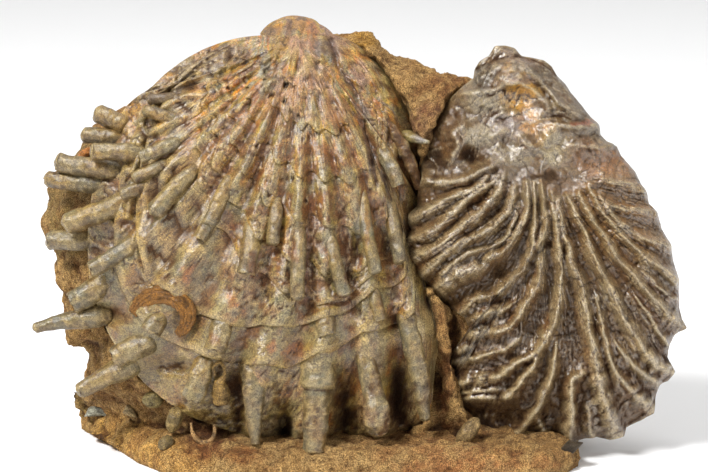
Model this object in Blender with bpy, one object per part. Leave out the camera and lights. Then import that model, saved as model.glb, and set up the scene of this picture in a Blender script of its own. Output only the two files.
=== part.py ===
"""Fossil bivalve cluster: a spiny clam valve and a ribbed oyster valve, side by side on one block of
sandy rock that is sawn flat underneath, with the small shell pieces that are caught in it.

Shapes are worked out in millimetres on the face of the cluster: u runs to the right, v up the face
and w out of it, from the plane of the shells' margins. The face leans back by LEAN, and stand()
turns a point of the face into metres in the world, with +Z up and the sawn base at z = 0.
"""

import math

import bmesh
import bpy
from mathutils import Vector, noise

MM = 0.001

# How the face stands over the sawn base.
LEAN = math.radians(12.0)
LIFT = -4.3
CENTRE = (1.69, 11.2)  # u and depth over which the cluster's box is centred
GAP = 0.35  # clear space kept round every loose piece
THROUGH = 40.0  # how far a socket's cutter reaches out of the rock

# Spiny clam: angles are in degrees from straight down, positive to the right of its beak.
CLAM_BEAK = (-14.0, 108.0)
CLAM_CENTRE = (-16.0, 62.0)
CLAM_LEFT = 60.0
CLAM_RIGHT = 33.0
CLAM_RIGHT_FLARE = 35.0
CLAM_UP = 53.0
CLAM_DOWN = 62.0
CLAM_HEIGHT = 30.0
CLAM_WALL = 5.0
CLAM_RIBS = (-72, -65, -58, -51, -45, -35, -24, -11.5, -1, 8.5, 18.5, 28, 37)
CLAM_RIB_HEIGHT = 1.5
CLAM_RIB_BEND = 0.14  # degrees per millimetre past CLAM_BEND_START
CLAM_BEND_START = 50.0
CLAM_TOP_ANGLES = (46, 58, 72, 92, 125, 165, 205, 240, 264, 276)
CLAM_OUTLINE = (
    (-96, 9.5), (-84, 24), (-72, 38), (-69, 45.6), (-61, 54.6), (-49.5, 68), (-41, 79), (-33, 87),
    (-24, 94), (-16, 97.7), (-8, 99.5), (1, 100.6), (9.5, 102), (16, 101.5), (20, 98.5), (23, 88),
    (26, 82), (27.5, 70), (30, 62), (35, 52), (45, 43), (56, 34), (68, 25), (79.5, 18), (99, 9.5),
    (129, 7), (174, 7), (224, 8), (264, 9.5),
)
CLAM_LEDGES = (0.22, 0.33, 0.44, 0.55, 0.69, 0.79)
CLAM_LEDGE_HEIGHT = 1.7
CLAM_LEDGE_SKEW = -0.0034  # how far a ledge climbs for each degree to the right
UMBO = (-14.0, 105.0)
UMBO_RADIUS = 9.0
UMBO_HEIGHT = 5.0

# Spines: base u, v; tip u, v; how far the tip stands above its base's height; widths at base, tip.
SPINES = (
    (-57, 88.5, -65, 89.5, -3, 5, 4.5), (-60, 83.8, -67.5, 84, -3, 3.5, 3),
    (-54, 80, -65.5, 80, -1, 4.2, 4), (-60, 75.2, -74.5, 77.5, -4, 4.2, 4),
    (-65, 72.5, -77, 73, -4, 4.4, 2.5), (-56.5, 67, -72, 62, -3, 5.5, 4.5),
    (-67, 58, -77, 57.8, -5, 4.5, 4), (-61, 40, -80, 35.8, -3, 7, 2.5),
    (-38.5, 76, -49.5, 64.5, 1, 4, 4.5), (-29.5, 74, -35, 62.5, 2.5, 3.8, 3.5),
    (-49.5, 59.5, -64.5, 51, -3, 4, 3.5), (-60, 48.5, -69.5, 42.5, -4, 6, 6),
    (-43, 93.6, -50.5, 92.6, 0, 2.4, 1.6), (-43.5, 87.5, -51.5, 90.2, 0, 3.5, 2),
    (-49, 33.5, -59, 29, -3, 5.5, 6), (-53, 27, -68.5, 20.5, -4, 5.5, 4.5),
    (-35.5, 30, -40, 19, -2, 6, 5.5), (-31.5, 40, -34, 31, 1, 5.5, 5.5),
    (-24.5, 63, -26, 50, 2.5, 5, 4.5), (-13.7, 63, -13.5, 44.3, 2, 3.8, 3.6),
    (-6.5, 60, -2.3, 45, 0.5, 3.2, 3.6), (1.8, 70, 5, 50.5, 1.5, 3, 3.4),
    (9, 68, 11, 53, 2, 3.6, 3.4), (6.5, 82, 11, 71.5, 1, 4, 3.5),
    (3.5, 48, 6.5, 38.5, 0.5, 4, 3.2), (-7.5, 41, -6.5, 35, 1, 5, 5),
    (-23.5, 28, -24.3, 7.5, -3.5, 8, 2.5), (-9, 31, -9.8, 5.5, -3.5, 8, 6.5),
    (3, 36, 5, 10, -2, 5, 7), (12, 44, 17.5, 13, -3, 4.4, 3.4),
    (13, 83, 18.2, 82.3, 3, 3, 0.8), (-47.5, 40, -50, 35.5, 1, 5, 5.5),
)
SPINE_SIDES = 6
SPINE_ROOT = 0.35  # how deep a spine's root sits in the shell, as a share of its width
SPINE_HOLLOW = 0.4  # depth of the hollow at its tip, as a share of its width

# Ribbed oyster: the crests of its ribs, each from near the hinge boss to the margin.
OYSTER_BOSS = (47.5, 74.0)
OYSTER_CRESTS = (
    ((40, 77), (30, 74), (20, 71), (16, 70)), ((38, 73), (30, 69), (22, 64.5), (13.3, 63)),
    ((38, 70), (31, 65), (23, 60.5), (12.4, 57.5)), ((40, 67), (34, 61.5), (25, 56), (13.5, 52)),
    ((41.5, 66), (38, 60.5), (30, 55.5), (17.5, 47.8)), ((43, 66), (41, 60), (35, 54.5), (21, 44.5)),
    ((44.5, 64), (43.5, 56), (40, 49), (25, 40)), ((46, 62), (46, 52), (43, 43.5), (28.5, 35)),
    ((47.5, 60), (48, 50), (45, 38), (25, 27.5)), ((50, 58), (51.5, 48), (47, 33), (22.6, 22.5)),
    ((50.5, 56), (52, 45), (47, 28), (23, 15.5)), ((52, 54), (53.5, 42), (49, 25), (39, 9)),
    ((53, 56), (55, 44), (55, 28), (54, 7.2)), ((54, 58), (57.5, 47), (60, 30), (66.5, 7.8)),
    ((55, 60), (60, 47), (65, 30), (75.5, 14.5)), ((55, 65), (61, 53.5), (69, 37), (80.7, 25.3)),
    ((56, 66), (63, 55.5), (73, 44.5), (83.7, 36)), ((57, 68), (66, 57.5), (75, 51.5), (81.8, 48)),
    ((57, 69), (66, 61), (74, 57.3), (80, 56.5)), ((57, 70.5), (66, 66), (71, 65.3), (76.6, 64.6)),
    ((57.5, 73), (64, 72.8), (68, 72.4), (73, 71.5)), ((56, 77), (62, 78.5), (65, 78.4), (69, 77.5)),
    ((54, 82), (58, 85), (60, 86), (62.3, 86.2)), ((50, 86), (53, 90), (54.5, 93), (55.5, 95)),
    ((46, 86), (47, 92), (48, 98), (48.5, 103)), ((40, 89), (38.5, 95), (37.5, 101), (37, 107)),
    ((37, 86), (34, 92), (32, 98), (31, 102.5)), ((35, 83), (31, 88), (28, 92), (24, 95)),
    ((34, 80.5), (28, 83), (23, 85), (19, 86.5)), ((36, 78.5), (28, 77.5), (21, 77), (16, 77)),
)
OYSTER_CENTRE = (47.0, 60.0)
OYSTER_LEFT = 36.0
OYSTER_RIGHT = 38.0
OYSTER_UP = 48.0
OYSTER_DOWN = 54.0
OYSTER_MARGIN_HEIGHT = 5.0
OYSTER_HEIGHT = 16.0
OYSTER_TILT = 6.5  # how far its left margin is raised over the clam's flank
OYSTER_WALL = 5.0
OYSTER_KNOB = (43.0, 100.0)
OYSTER_KNOB_RADIUS = 9.0
OYSTER_KNOB_HEIGHT = 5.0
OYSTER_RIB_HEIGHT = 2.4
OYSTER_ZIGZAG = 1.6  # how far the margin steps in between two ribs
OYSTER_STATIONS = (0.12, 0.28, 0.44, 0.58, 0.72, 0.86, 1.0)

# Rock: the outline of the upright block, and the sawn foot's outline in u and depth.
ROCK_CENTRE = (-5.0, 52.0)
ROCK_OUTLINE = (
    (-67, 8), (-70.5, 11.5), (-73.5, 16.5), (-71.5, 21), (-68, 25), (-67.7, 30), (-73, 32.5),
    (-74.3, 44), (-76, 50), (-75.5, 54), (-78, 60), (-79, 64.5), (-76, 71), (-70, 77), (-63, 84),
    (-57, 92), (-50, 96.5), (-45, 99.5), (-40.5, 100.5), (-38, 104), (-35, 106.5), (-30, 107.5),
    (-24, 109), (-14, 110), (-4, 110), (1, 111.2), (5, 108.5), (9.5, 104.5), (16, 103.3), (22, 100),
    (30, 98.5), (45, 97), (56, 88), (64, 74), (67, 56), (65, 36), (60, 20), (56, 8), (40, 5),
    (20, 4.5), (0, 4.5), (-20, 4.5), (-40, 4.5), (-56, 5.5),
)
ROCK_FRONT_HEIGHT = 15.0
ROCK_FRONT_DROP = 14.0
ROCK_CORNER_DROP = 24.0  # how far the lower left corner falls back
ROCK_BACK_DEPTH = 33.0
ROCK_BACK_DROP = 27.0
ROCK_EDGE = 4.0  # least thickness of the block's lower edge
ROCK_FRONT_RINGS = (0.45, 0.7, 0.83, 0.92, 1.0)
ROCK_BACK_RINGS = (0.96, 0.84, 0.62, 0.34)
ROCK_LUMP = 2.6
ROCK_SLOT = (20.6, 23.0)  # the narrow pit beside the clam's lower right edge
ROCK_SLOT_DEPTH = 9.0
FOOT_CENTRE = (0.0, 6.0)
FOOT_OUTLINE = (
    (-71, 22), (-66, 13), (-60, 2.6), (-54, -9.5), (-47, -18.5), (-38, -22.5), (-29, -24.5),
    (-20, -23.5), (-10, -25.5), (0, -24.5), (11, -25.5), (20, -24), (31, -24.5), (40, -22),
    (47, -22.5), (52, -19), (56, -12), (55.5, 0), (58, 14), (55, 27), (42, 35), (26, 35),
    (12, 38), (-4, 36.5), (-20, 38.5), (-36, 36), (-50, 37), (-64, 33),
)
FOOT_LEVELS = ((0.0, 0.0), (1.6, -0.3), (4.0, 0.5), (5.8, 2.6), (7.0, 7.0))  # height, set-in
FOOT_RIM = 1.6

# Small loose pieces. A thread is a tube along face points; a flake is a plate with a face outline
# between two heights; a pebble has a centre, three half sizes and a turn in degrees.
THREADS = {
    "encrusting_oyster": (
        ((-54.5, 40, 19.5), (-51.5, 43.4, 22.5), (-46.5, 44.8, 24.8), (-42.2, 43.2, 26),
         (-40.4, 40, 25.6), (-41.3, 36.8, 24.6), (-43.8, 34.6, 23.2)),
        (2.2, 2.8, 3.2, 3.2, 3.0, 2.6, 1.6), (0.45, 0.16, 0.03),
    ),
    "worm_tube": (
        ((-33, 17.6, 18.5), (-33, 20.2, 19.6), (-33, 22.6, 20.8), (-30.9, 24.2, 22.4),
         (-30.7, 27, 23.2), (-33, 28.4, 23.4), (-35.3, 27, 23.2), (-35.2, 24.7, 22.6)),
        (4.2, 4.4, 2.6, 1.8, 1.8, 1.8, 1.8, 1.6), (0.4, 0.22, 0.09),
    ),
    "ring_shell": (
        ((-34.6, 13.4, 18), (-36, 14.3, 18), (-38, 14.3, 18), (-39.7, 12.8, 18), (-39.9, 10.6, 18),
         (-38.4, 8.6, 18), (-36.2, 8.2, 18), (-34.5, 9.6, 18), (-34, 11.4, 18)),
        (1.0, 1.5, 1.7, 1.9, 2.0, 2.0, 1.9, 1.5, 1.0), (0.5, 0.36, 0.24),
    ),
}
FLAKES = {
    "blue_fragment": (
        ((-69.6, 12.4), (-68.6, 14.6), (-66, 16.2), (-63.4, 15.9), (-61.7, 14), (-61.2, 11.2),
         (-64.5, 12.6)),
        -17.0, -12.0, (0.45, 0.5, 0.56),
    ),
    "dark_fragment": (
        ((44.6, 2.6), (50, 3.4), (54.5, 5.2), (57, 7.8), (53.4, 8.4), (50.6, 6)),
        14.0, 17.5, (0.1, 0.1, 0.11),
    ),
    "pale_chip": (
        ((-58.6, 14.2), (-57.6, 16.4), (-55.6, 15.6), (-54.6, 13), (-56.6, 13.2)), -1.5, 2.5,
        (0.6, 0.52, 0.4),
    ),
    "grey_flake": (((34, 0.6), (34.6, 3.4), (38, 3.6), (39.6, 1.2)), 20.5, 23.2, (0.4, 0.38, 0.34)),
}
PEBBLES = {
    "green_pebble": ((-50.2, 18, 9.5), (2.7, 2.3, 2.6), 0, (0.24, 0.22, 0.14)),
    "upper_stub": ((-44.6, 13.4, 14.5), (3.4, 2.1, 2.6), 75, (0.28, 0.24, 0.16)),
    "lower_stub": ((-46.6, 7.6, 15.5), (2.2, 1.9, 2.4), 40, (0.26, 0.25, 0.2)),
    "orange_bit": ((-66.6, 80, 3.5), (1.7, 1.1, 2.2), 30, (0.6, 0.2, 0.03)),
    "rib_fragment": ((28.4, 10.4, 15.5), (4.4, 2.2, 2.8), 52, (0.3, 0.26, 0.2)),
}
PEBBLE_SIDES = 7


def stand(point):
    """World position, in metres, of a point (u, v, w) of the face."""
    u, v, w = point
    depth = v * math.sin(LEAN) - w * math.cos(LEAN)
    height = v * math.cos(LEAN) + w * math.sin(LEAN) + LIFT
    return Vector((u - CENTRE[0], depth - CENTRE[1], height)) * MM


def between(low, high, value):
    """Smooth step from 0 at low to 1 at high."""
    share = min(1.0, max(0.0, (value - low) / (high - low)))
    return share * share * (3 - 2 * share)


def lookup(table, value):
    """Straight-line value of a table of (place, value) pairs."""
    for (low, first), (high, second) in zip(table, table[1:]):
        if low <= value <= high:
            return first + (second - first) * (value - low) / (high - low)
    return table[0][1] if value < table[0][0] else table[-1][1]


def roughness(u, v, size, seed):
    """Smooth lumps of about the given size, between about -1 and 1."""
    return noise.noise(Vector((u / size, v / size, seed)))


def dome(u, v, centre, left, right, up, down):
    """Height share of a rounded cap over an ellipse with four different half-lengths."""
    across = (u - centre[0]) / (right if u > centre[0] else left)
    along = (v - centre[1]) / (up if v > centre[1] else down)
    return max(0.0, 1 - across * across - along * along) ** 0.6


def skin(mesh, start, rings, end):
    """Closed surface through a start point, rings of equally many points and an end point."""
    first = mesh.verts.new(stand(start))
    last = mesh.verts.new(stand(end))
    loops = [[mesh.verts.new(stand(point)) for point in ring] for ring in rings]
    count = len(rings[0])
    for i in range(count):
        j = (i + 1) % count
        mesh.faces.new((first, loops[0][j], loops[0][i]))
        mesh.faces.new((last, loops[-1][i], loops[-1][j]))
        for near, far in zip(loops, loops[1:]):
            mesh.faces.new((near[i], near[j], far[j], far[i]))


def finished(name, mesh, colour=None, roughness_value=0.8):
    """Object made from the mesh, with its faces outward and, for a piece, its own material."""
    bmesh.ops.triangulate(mesh, faces=mesh.faces)
    bmesh.ops.recalc_face_normals(mesh, faces=mesh.faces)
    data = bpy.data.meshes.new(name)
    mesh.to_mesh(data)
    mesh.free()
    piece = bpy.data.objects.new(name, data)
    bpy.context.scene.collection.objects.link(piece)
    if colour:
        material = bpy.data.materials.new(name)
        material.use_nodes = True
        shader = material.node_tree.nodes["Principled BSDF"]
        shader.inputs["Base Color"].default_value = (*colour, 1)
        shader.inputs["Roughness"].default_value = roughness_value
        data.materials.append(material)
    else:
        piece.hide_render = True
        piece.display_type = "WIRE"
    return piece


def combine(piece, other, operation):
    """Live Boolean of one object with another."""
    step = piece.modifiers.new(other.name, "BOOLEAN")
    step.operation = operation
    step.solver = "EXACT"
    step.use_self = True
    step.object = other


# ---- spiny clam ----


def clam_height(u, v):
    """Smooth height of the clam's outside, without ribs or ledges."""
    right = CLAM_RIGHT + CLAM_RIGHT_FLARE * between(60, 10, v) + 3 * between(70, 85, v)
    cap = dome(u, v, CLAM_CENTRE, CLAM_LEFT, right, CLAM_UP, CLAM_DOWN)
    off = math.hypot(u - UMBO[0], v - UMBO[1]) / UMBO_RADIUS
    return CLAM_HEIGHT * cap + UMBO_HEIGHT * math.exp(-off * off)


def clam_bend(angle):
    """Share of the ribs' bend at an angle: all of it in the fan, none of it behind the beak."""
    return between(-96, -76, angle) * (1 - between(40, 60, angle))


def clam_spot(angle, share, grow):
    """Place on the face at an angle and a share of the way from the beak to the margin."""
    bend = CLAM_RIB_BEND * clam_bend(angle)
    reach = CLAM_BEND_START
    for _ in range(4):
        reach = lookup(CLAM_OUTLINE, angle - bend * (reach - CLAM_BEND_START))
    radius = share * (reach + grow)
    turned = math.radians(angle - bend * (radius - CLAM_BEND_START))
    return (CLAM_BEAK[0] + radius * math.sin(turned), CLAM_BEAK[1] - radius * math.cos(turned))


def clam_angles():
    """Spokes of the clam's surface: three to a rib, then those behind the beak, with rib heights."""
    spokes = []
    for first, second in zip(CLAM_RIBS, CLAM_RIBS[1:]):
        for phase, height in ((0, 1.0), (0.34, -0.6), (0.66, -0.6)):
            spokes.append((first + phase * (second - first), height))
    spokes.append((CLAM_RIBS[-1], 1.0))
    return spokes + [(angle, 0.0) for angle in CLAM_TOP_ANGLES]


def clam_share(angle, share):
    """Share of the radius at which a ring runs: ledges climb towards the clam's right side."""
    turned = max(-40.0, min(20.0, angle if angle < 180 else angle - 360))
    reach = min(1.0, share / 0.6, (1 - share) / 0.2)
    return share + CLAM_LEDGE_SKEW * turned * reach * (1 - between(20, 60, abs(turned - angle)))


def clam_rings():
    """Shares of the radius for the rings, with the height that the growth ledges give each."""
    rings = [(0.1, 0.0)]
    for ledge in CLAM_LEDGES:
        rings.append((ledge - 0.006, CLAM_LEDGE_HEIGHT / 2))
        rings.append((ledge + 0.010, -CLAM_LEDGE_HEIGHT / 2))
    return rings + [(0.90, 0.2), (1.0, 0.0)]


def clam_valve(name, grow=0.0, out=0.0, colour=None):
    """The domed valve. A socket's cutter is grown on its back and edge and reaches out in front."""
    spokes = clam_angles()
    rings = []
    for share, step in clam_rings():
        ring = []
        for angle, crest in spokes:
            u, v = clam_spot(angle, clam_share(angle, share), grow)
            rib = CLAM_RIB_HEIGHT * crest * min(1.0, 0.3 + share)
            fan = clam_bend(angle)
            ring.append((u, v, clam_height(u, v) + rib + step * fan + out))
        rings.append(ring)
    for share in (1.0, 0.82, 0.55, 0.25):
        ring = []
        for angle, _ in spokes:
            u, v = clam_spot(angle, clam_share(angle, share), grow)
            ring.append((u, v, clam_height(u, v) - CLAM_WALL - grow))
        rings.append(ring)
    top = clam_height(*CLAM_BEAK)
    mesh = bmesh.new()
    skin(mesh, (*CLAM_BEAK, top + out), rings, (*CLAM_BEAK, top - CLAM_WALL - grow))
    return finished(name, mesh, colour, 0.6)


def tube(mesh, path, widths, sides, hollow):
    """Closed tube along a path of face points, with a rounded root and a hollow or pointed tip."""
    points = [Vector(point) for point in path]
    rings = []
    for i, (point, width) in enumerate(zip(points, widths)):
        along = (points[min(i + 1, len(points) - 1)] - points[max(i - 1, 0)]).normalized()
        side = along.cross(Vector((0, 0, 1))).normalized()
        up = side.cross(along)
        turns = [math.tau * k / sides for k in range(sides)]
        rings.append([point + (side * math.cos(a) + up * math.sin(a)) * width / 2 for a in turns])
    root = points[0] - (points[1] - points[0]).normalized() * widths[0] * 0.3
    tip = points[-1] - (points[-1] - points[-2]).normalized() * hollow
    skin(mesh, root, rings, tip)


def spines(name, grow=0.0):
    """All the clam's spines in one mesh. Each swells a little on its way and lifts off the shell."""
    mesh = bmesh.new()
    for u0, v0, u1, v1, rise, wide, narrow in SPINES:
        low = clam_height(u0, v0) - SPINE_ROOT * wide
        high = clam_height(u0, v0) + rise
        path = []
        for share in (0.0, 0.5, 1.0):
            sag = 0.8 * math.sin(math.pi * share)
            path.append((u0 + (u1 - u0) * share, v0 + (v1 - v0) * share, low + (high - low) * share + sag))
        widths = [wide + 2 * grow, (wide + narrow) / 2 + 2 * grow, narrow + 2 * grow]
        tube(mesh, path, widths, SPINE_SIDES, -grow if grow else SPINE_HOLLOW * narrow)
    return finished(name, mesh)


# ---- ribbed oyster ----


def oyster_height(u, v):
    """Smooth height of the oyster's outside, without its ribs."""
    cap = dome(u, v, OYSTER_CENTRE, OYSTER_LEFT, OYSTER_RIGHT, OYSTER_UP, OYSTER_DOWN)
    tilt = OYSTER_TILT * between(40, 12, u) * between(8, 30, v)
    off = math.hypot(u - OYSTER_KNOB[0], v - OYSTER_KNOB[1]) / OYSTER_KNOB_RADIUS
    return OYSTER_MARGIN_HEIGHT + OYSTER_HEIGHT * cap + tilt + OYSTER_KNOB_HEIGHT * math.exp(-off * off)


def along_crest(crest, share):
    """Place at a share of the way from the boss along a rib's crest."""
    points = [Vector(OYSTER_BOSS)] + [Vector(point) for point in crest]
    lengths = [(b - a).length for a, b in zip(points, points[1:])]
    left = share * sum(lengths)
    for (a, b), length in zip(zip(points, points[1:]), lengths):
        if left <= length + 1e-9:
            return a.lerp(b, left / length)
        left -= length
    return points[-1]


def oyster_valve(name, grow=0.0, out=0.0, colour=None):
    """The valve: ribs and furrows take turns round the boss, and its margin is a zigzag."""
    count = len(OYSTER_CRESTS)
    rings = []
    front = list(OYSTER_STATIONS)
    for share in front + [1.0, 0.8, 0.5, 0.2]:
        back = len(rings) >= len(front)
        ring = []
        for i in range(count):
            here = along_crest(OYSTER_CRESTS[i], share)
            after = along_crest(OYSTER_CRESTS[(i + 1) % count], share)
            middle = (here + after) / 2
            inward = (Vector(OYSTER_BOSS) - middle).normalized() * OYSTER_ZIGZAG * share
            for place, crest in ((here, 0.5), (middle + inward, -0.5)):
                outward = (place - Vector(OYSTER_BOSS)).normalized() * grow * share
                u, v = place + outward
                height = oyster_height(u, v)
                if back:
                    ring.append((u, v, height - OYSTER_WALL - grow))
                else:
                    rib = OYSTER_RIB_HEIGHT * crest * min(1.0, share * 2.5) * (1 - 0.5 * between(74, 90, v))
                    ring.append((u, v, height + rib + grow + out))
        rings.append(ring)
    top = oyster_height(*OYSTER_BOSS)
    mesh = bmesh.new()
    skin(mesh, (*OYSTER_BOSS, top + grow + out), rings, (*OYSTER_BOSS, top - OYSTER_WALL - grow))
    return finished(name, mesh, colour, 0.4)


# ---- rock ----


def rock_front(u, v, share):
    """Height of the block's front at a share of the way from its centre to its outline."""
    height = ROCK_FRONT_HEIGHT - ROCK_FRONT_DROP * share**8
    height -= ROCK_CORNER_DROP * between(-38, -70, u) * between(32, 10, v)
    slot = ((u - ROCK_SLOT[0]) / 2.5) ** 2 + ((v - ROCK_SLOT[1]) / 9) ** 2
    return height - ROCK_SLOT_DEPTH * math.exp(-slot) + roughness(u, v, 9, 1) * ROCK_LUMP


def rock_block(name):
    """The upright block: a lumpy cushion inside its outline, deep at the back."""
    rings = []
    centre = Vector(ROCK_CENTRE)
    for k, share in enumerate(ROCK_FRONT_RINGS + ROCK_BACK_RINGS):
        ring = []
        for corner in ROCK_OUTLINE:
            u, v = centre.lerp(Vector(corner), share)
            floor = (FOOT_RIM - LIFT - v * math.cos(LEAN)) / math.sin(LEAN)
            if k < len(ROCK_FRONT_RINGS):
                w = max(rock_front(u, v, share), floor + ROCK_EDGE)
            else:
                w = -ROCK_BACK_DEPTH + ROCK_BACK_DROP * share**4
                w += roughness(u, v, 14, 5) * 2 * ROCK_LUMP
                w -= ROCK_CORNER_DROP * 0.5 * between(-38, -70, u) * between(32, 10, v) * share
                w = max(w, floor)
            ring.append((u, v, w))
        rings.append(ring)
    mesh = bmesh.new()
    skin(mesh, (*ROCK_CENTRE, ROCK_FRONT_HEIGHT), rings, (*ROCK_CENTRE, -ROCK_BACK_DEPTH))
    return finished(name, mesh, (0.42, 0.26, 0.12), 0.9)


def rock_foot(name):
    """The ledge along the bottom, sawn flat at z = 0, with a broken upper edge."""
    mesh = bmesh.new()
    levels = []
    for height, inset in FOOT_LEVELS:
        level = []
        for u, depth in FOOT_OUTLINE:
            reach = 1 - inset / math.hypot(u - FOOT_CENTRE[0], depth - FOOT_CENTRE[1])
            lump = roughness(u, height * 4 + depth, 8, 3) * (1.2 if height else 0.0)
            x = FOOT_CENTRE[0] + (u - FOOT_CENTRE[0]) * reach - CENTRE[0]
            y = FOOT_CENTRE[1] + (depth - FOOT_CENTRE[1]) * reach + lump - CENTRE[1]
            level.append(mesh.verts.new(Vector((x, y, height + lump * 0.6)) * MM))
        levels.append(level)
    count = len(FOOT_OUTLINE)
    for low, high in zip(levels, levels[1:]):
        for i in range(count):
            j = (i + 1) % count
            mesh.faces.new((low[i], low[j], high[j], high[i]))
    mesh.faces.new(levels[0])
    middle = (FOOT_CENTRE[0] - CENTRE[0], FOOT_CENTRE[1] - CENTRE[1], FOOT_LEVELS[-1][0])
    top = mesh.verts.new(Vector(middle) * MM)
    for i in range(count):
        mesh.faces.new((levels[-1][i], levels[-1][(i + 1) % count], top))
    return finished(name, mesh)


# ---- small loose pieces ----


def thread(name, path, widths, colour=None, grow=0.0):
    """A tube along a path of face points."""
    mesh = bmesh.new()
    tube(mesh, path, [width + 2 * grow for width in widths], SPINE_SIDES, -0.3 * widths[-1] - grow)
    return finished(name, mesh, colour, 0.7)


def flake(name, outline, low, high, colour=None, grow=0.0):
    """A plate with the given outline between two heights, its front edge a little drawn in."""
    middle = sum((Vector(corner) for corner in outline), Vector((0, 0))) / len(outline)
    rings = []
    for height, spread in ((low - grow, 0.9), ((low + high) / 2, 1.0), (high + grow, 0.82)):
        ring = []
        for corner in outline:
            arm = Vector(corner) - middle
            ring.append((*(middle + arm * spread + arm.normalized() * grow), height))
        rings.append(ring)
    mesh = bmesh.new()
    skin(mesh, (*middle, low - grow), rings, (*middle, high + grow + 0.4))
    return finished(name, mesh, colour, 0.45)


def pebble(name, centre, sizes, turn, colour=None, grow=0.0):
    """An uneven rounded lump, longest along its own turned axis."""
    angle = math.radians(turn)
    long_axis = Vector((math.cos(angle), math.sin(angle), 0))
    cross_axis = Vector((-math.sin(angle), math.cos(angle), 0))
    length, width, depth = (size + grow for size in sizes)
    rings = []
    for station in (-0.72, 0.0, 0.7):
        around = math.sqrt(1 - station * station)
        ring = []
        for k in range(PEBBLE_SIDES):
            a = math.tau * k / PEBBLE_SIDES
            swell = around * (1 + 0.12 * math.sin(3 * a + station * 4))
            out = cross_axis * math.cos(a) * width + Vector((0, 0, 1)) * math.sin(a) * depth
            ring.append(Vector(centre) + long_axis * station * length + out * swell)
        rings.append(ring)
    mesh = bmesh.new()
    skin(mesh, Vector(centre) - long_axis * length, rings, Vector(centre) + long_axis * length)
    return finished(name, mesh, colour, 0.6)


def small_pieces():
    """Make the loose pieces, and return the slightly larger cutters that make room for them."""
    rooms = []
    makers = ((thread, THREADS), (flake, FLAKES), (pebble, PEBBLES))
    for make, table in makers:
        for name, (*shape, colour) in table.items():
            make(name, *shape, colour)
            rooms.append(make("room_for_" + name, *shape, grow=GAP))
    return rooms


def build():
    """Make every piece."""
    oyster_valve("ribbed_oyster_shell", colour=(0.19, 0.14, 0.09))
    oyster_room = oyster_valve("oyster_room", grow=GAP)
    clam = clam_valve("spiny_clam_shell", colour=(0.32, 0.24, 0.13))
    combine(clam, spines("clam_spines"), "UNION")
    combine(clam, oyster_room, "DIFFERENCE")
    rock = rock_block("rock_matrix")
    combine(rock, rock_foot("rock_foot"), "UNION")
    combine(rock, clam_valve("clam_socket", GAP, THROUGH), "DIFFERENCE")
    combine(rock, oyster_valve("oyster_socket", GAP, THROUGH), "DIFFERENCE")
    combine(rock, spines("spine_sockets", GAP), "DIFFERENCE")
    for room in small_pieces():
        combine(rock, room, "DIFFERENCE")
        combine(clam, room, "DIFFERENCE")


for leftover in list(bpy.data.objects):
    bpy.data.objects.remove(leftover)
build()
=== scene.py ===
import math

import bpy
import numpy as np
from mathutils import Matrix, Vector


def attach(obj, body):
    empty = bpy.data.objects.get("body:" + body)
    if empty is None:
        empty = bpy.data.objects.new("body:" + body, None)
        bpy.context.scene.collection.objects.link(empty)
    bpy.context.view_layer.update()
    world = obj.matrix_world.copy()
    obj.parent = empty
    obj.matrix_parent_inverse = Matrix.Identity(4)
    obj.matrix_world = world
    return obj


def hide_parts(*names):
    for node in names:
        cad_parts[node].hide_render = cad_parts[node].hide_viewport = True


# Fossil bivalve cluster: a spiny clam valve and a ribbed oyster valve on one block of sandy rock, with
# the small bits that lie in it.
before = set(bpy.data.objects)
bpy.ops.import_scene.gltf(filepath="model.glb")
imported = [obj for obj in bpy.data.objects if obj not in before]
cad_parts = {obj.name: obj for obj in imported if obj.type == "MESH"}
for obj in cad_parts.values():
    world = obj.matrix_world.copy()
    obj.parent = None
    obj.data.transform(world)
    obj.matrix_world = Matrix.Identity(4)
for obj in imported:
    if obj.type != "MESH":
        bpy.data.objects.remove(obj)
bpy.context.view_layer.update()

# Everything is shaped in millimetres on the face of the cluster: u to the right, v up the face and
# w out of it. The face leans back, and stand() turns face points into metres in the world.
face = {
    "lean": math.radians(12.0),
    "lift": -4.3,
    "middle": 1.69,
    "depth": 11.2,
}
sinLean = math.sin(face["lean"])
cosLean = math.cos(face["lean"])


def spot(u, v, w=0.0):
    # points from their three coordinates, each an array or a number
    return np.stack(np.broadcast_arrays(u, v, w), -1)


def stand(points):
    # depth = v sin - w cos, height = v cos + w sin + lift, all in metres
    u, v, w = np.moveaxis(points, -1, 0)
    y = v * sinLean - w * cosLean - face["depth"]
    z = v * cosLean + w * sinLean + face["lift"]
    return spot(u - face["middle"], y, z) * 0.001


def layBack(points):
    # the way back from metres in the world to millimetres on the face
    x, y, z = np.moveaxis(points * 1000, -1, 0)
    y = y + face["depth"]
    z = z - face["lift"]
    return spot(x + face["middle"], y * sinLean + z * cosLean, z * sinLean - y * cosLean)


lattice = np.random.default_rng(7).uniform(-1, 1, (32, 32, 32))


def lumps(points, size, seed=0, octaves=1, gain=0.5):
    # smooth noise: the eight lattice values round a point, mixed by s = t t (3 - 2 t), halved in size
    # and weakened by gain for each further octave
    total = np.zeros(points.shape[:-1])
    p = points / size + 17.31 * seed
    weight = 1.0
    for _ in range(octaves):
        cell = np.floor(p).astype(int)
        t = p - cell
        t = t * t * (3 - 2 * t)
        for dx in (0, 1):
            sx = t[..., 0] if dx else 1 - t[..., 0]
            for dy in (0, 1):
                sy = t[..., 1] if dy else 1 - t[..., 1]
                for dz in (0, 1):
                    sz = t[..., 2] if dz else 1 - t[..., 2]
                    i, j, k = np.moveaxis((cell + (dx, dy, dz)) % 32, -1, 0)
                    total += weight * lattice[i, j, k] * sx * sy * sz
        weight *= gain
        p = p * 2.03 + 5.7
    return total


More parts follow.
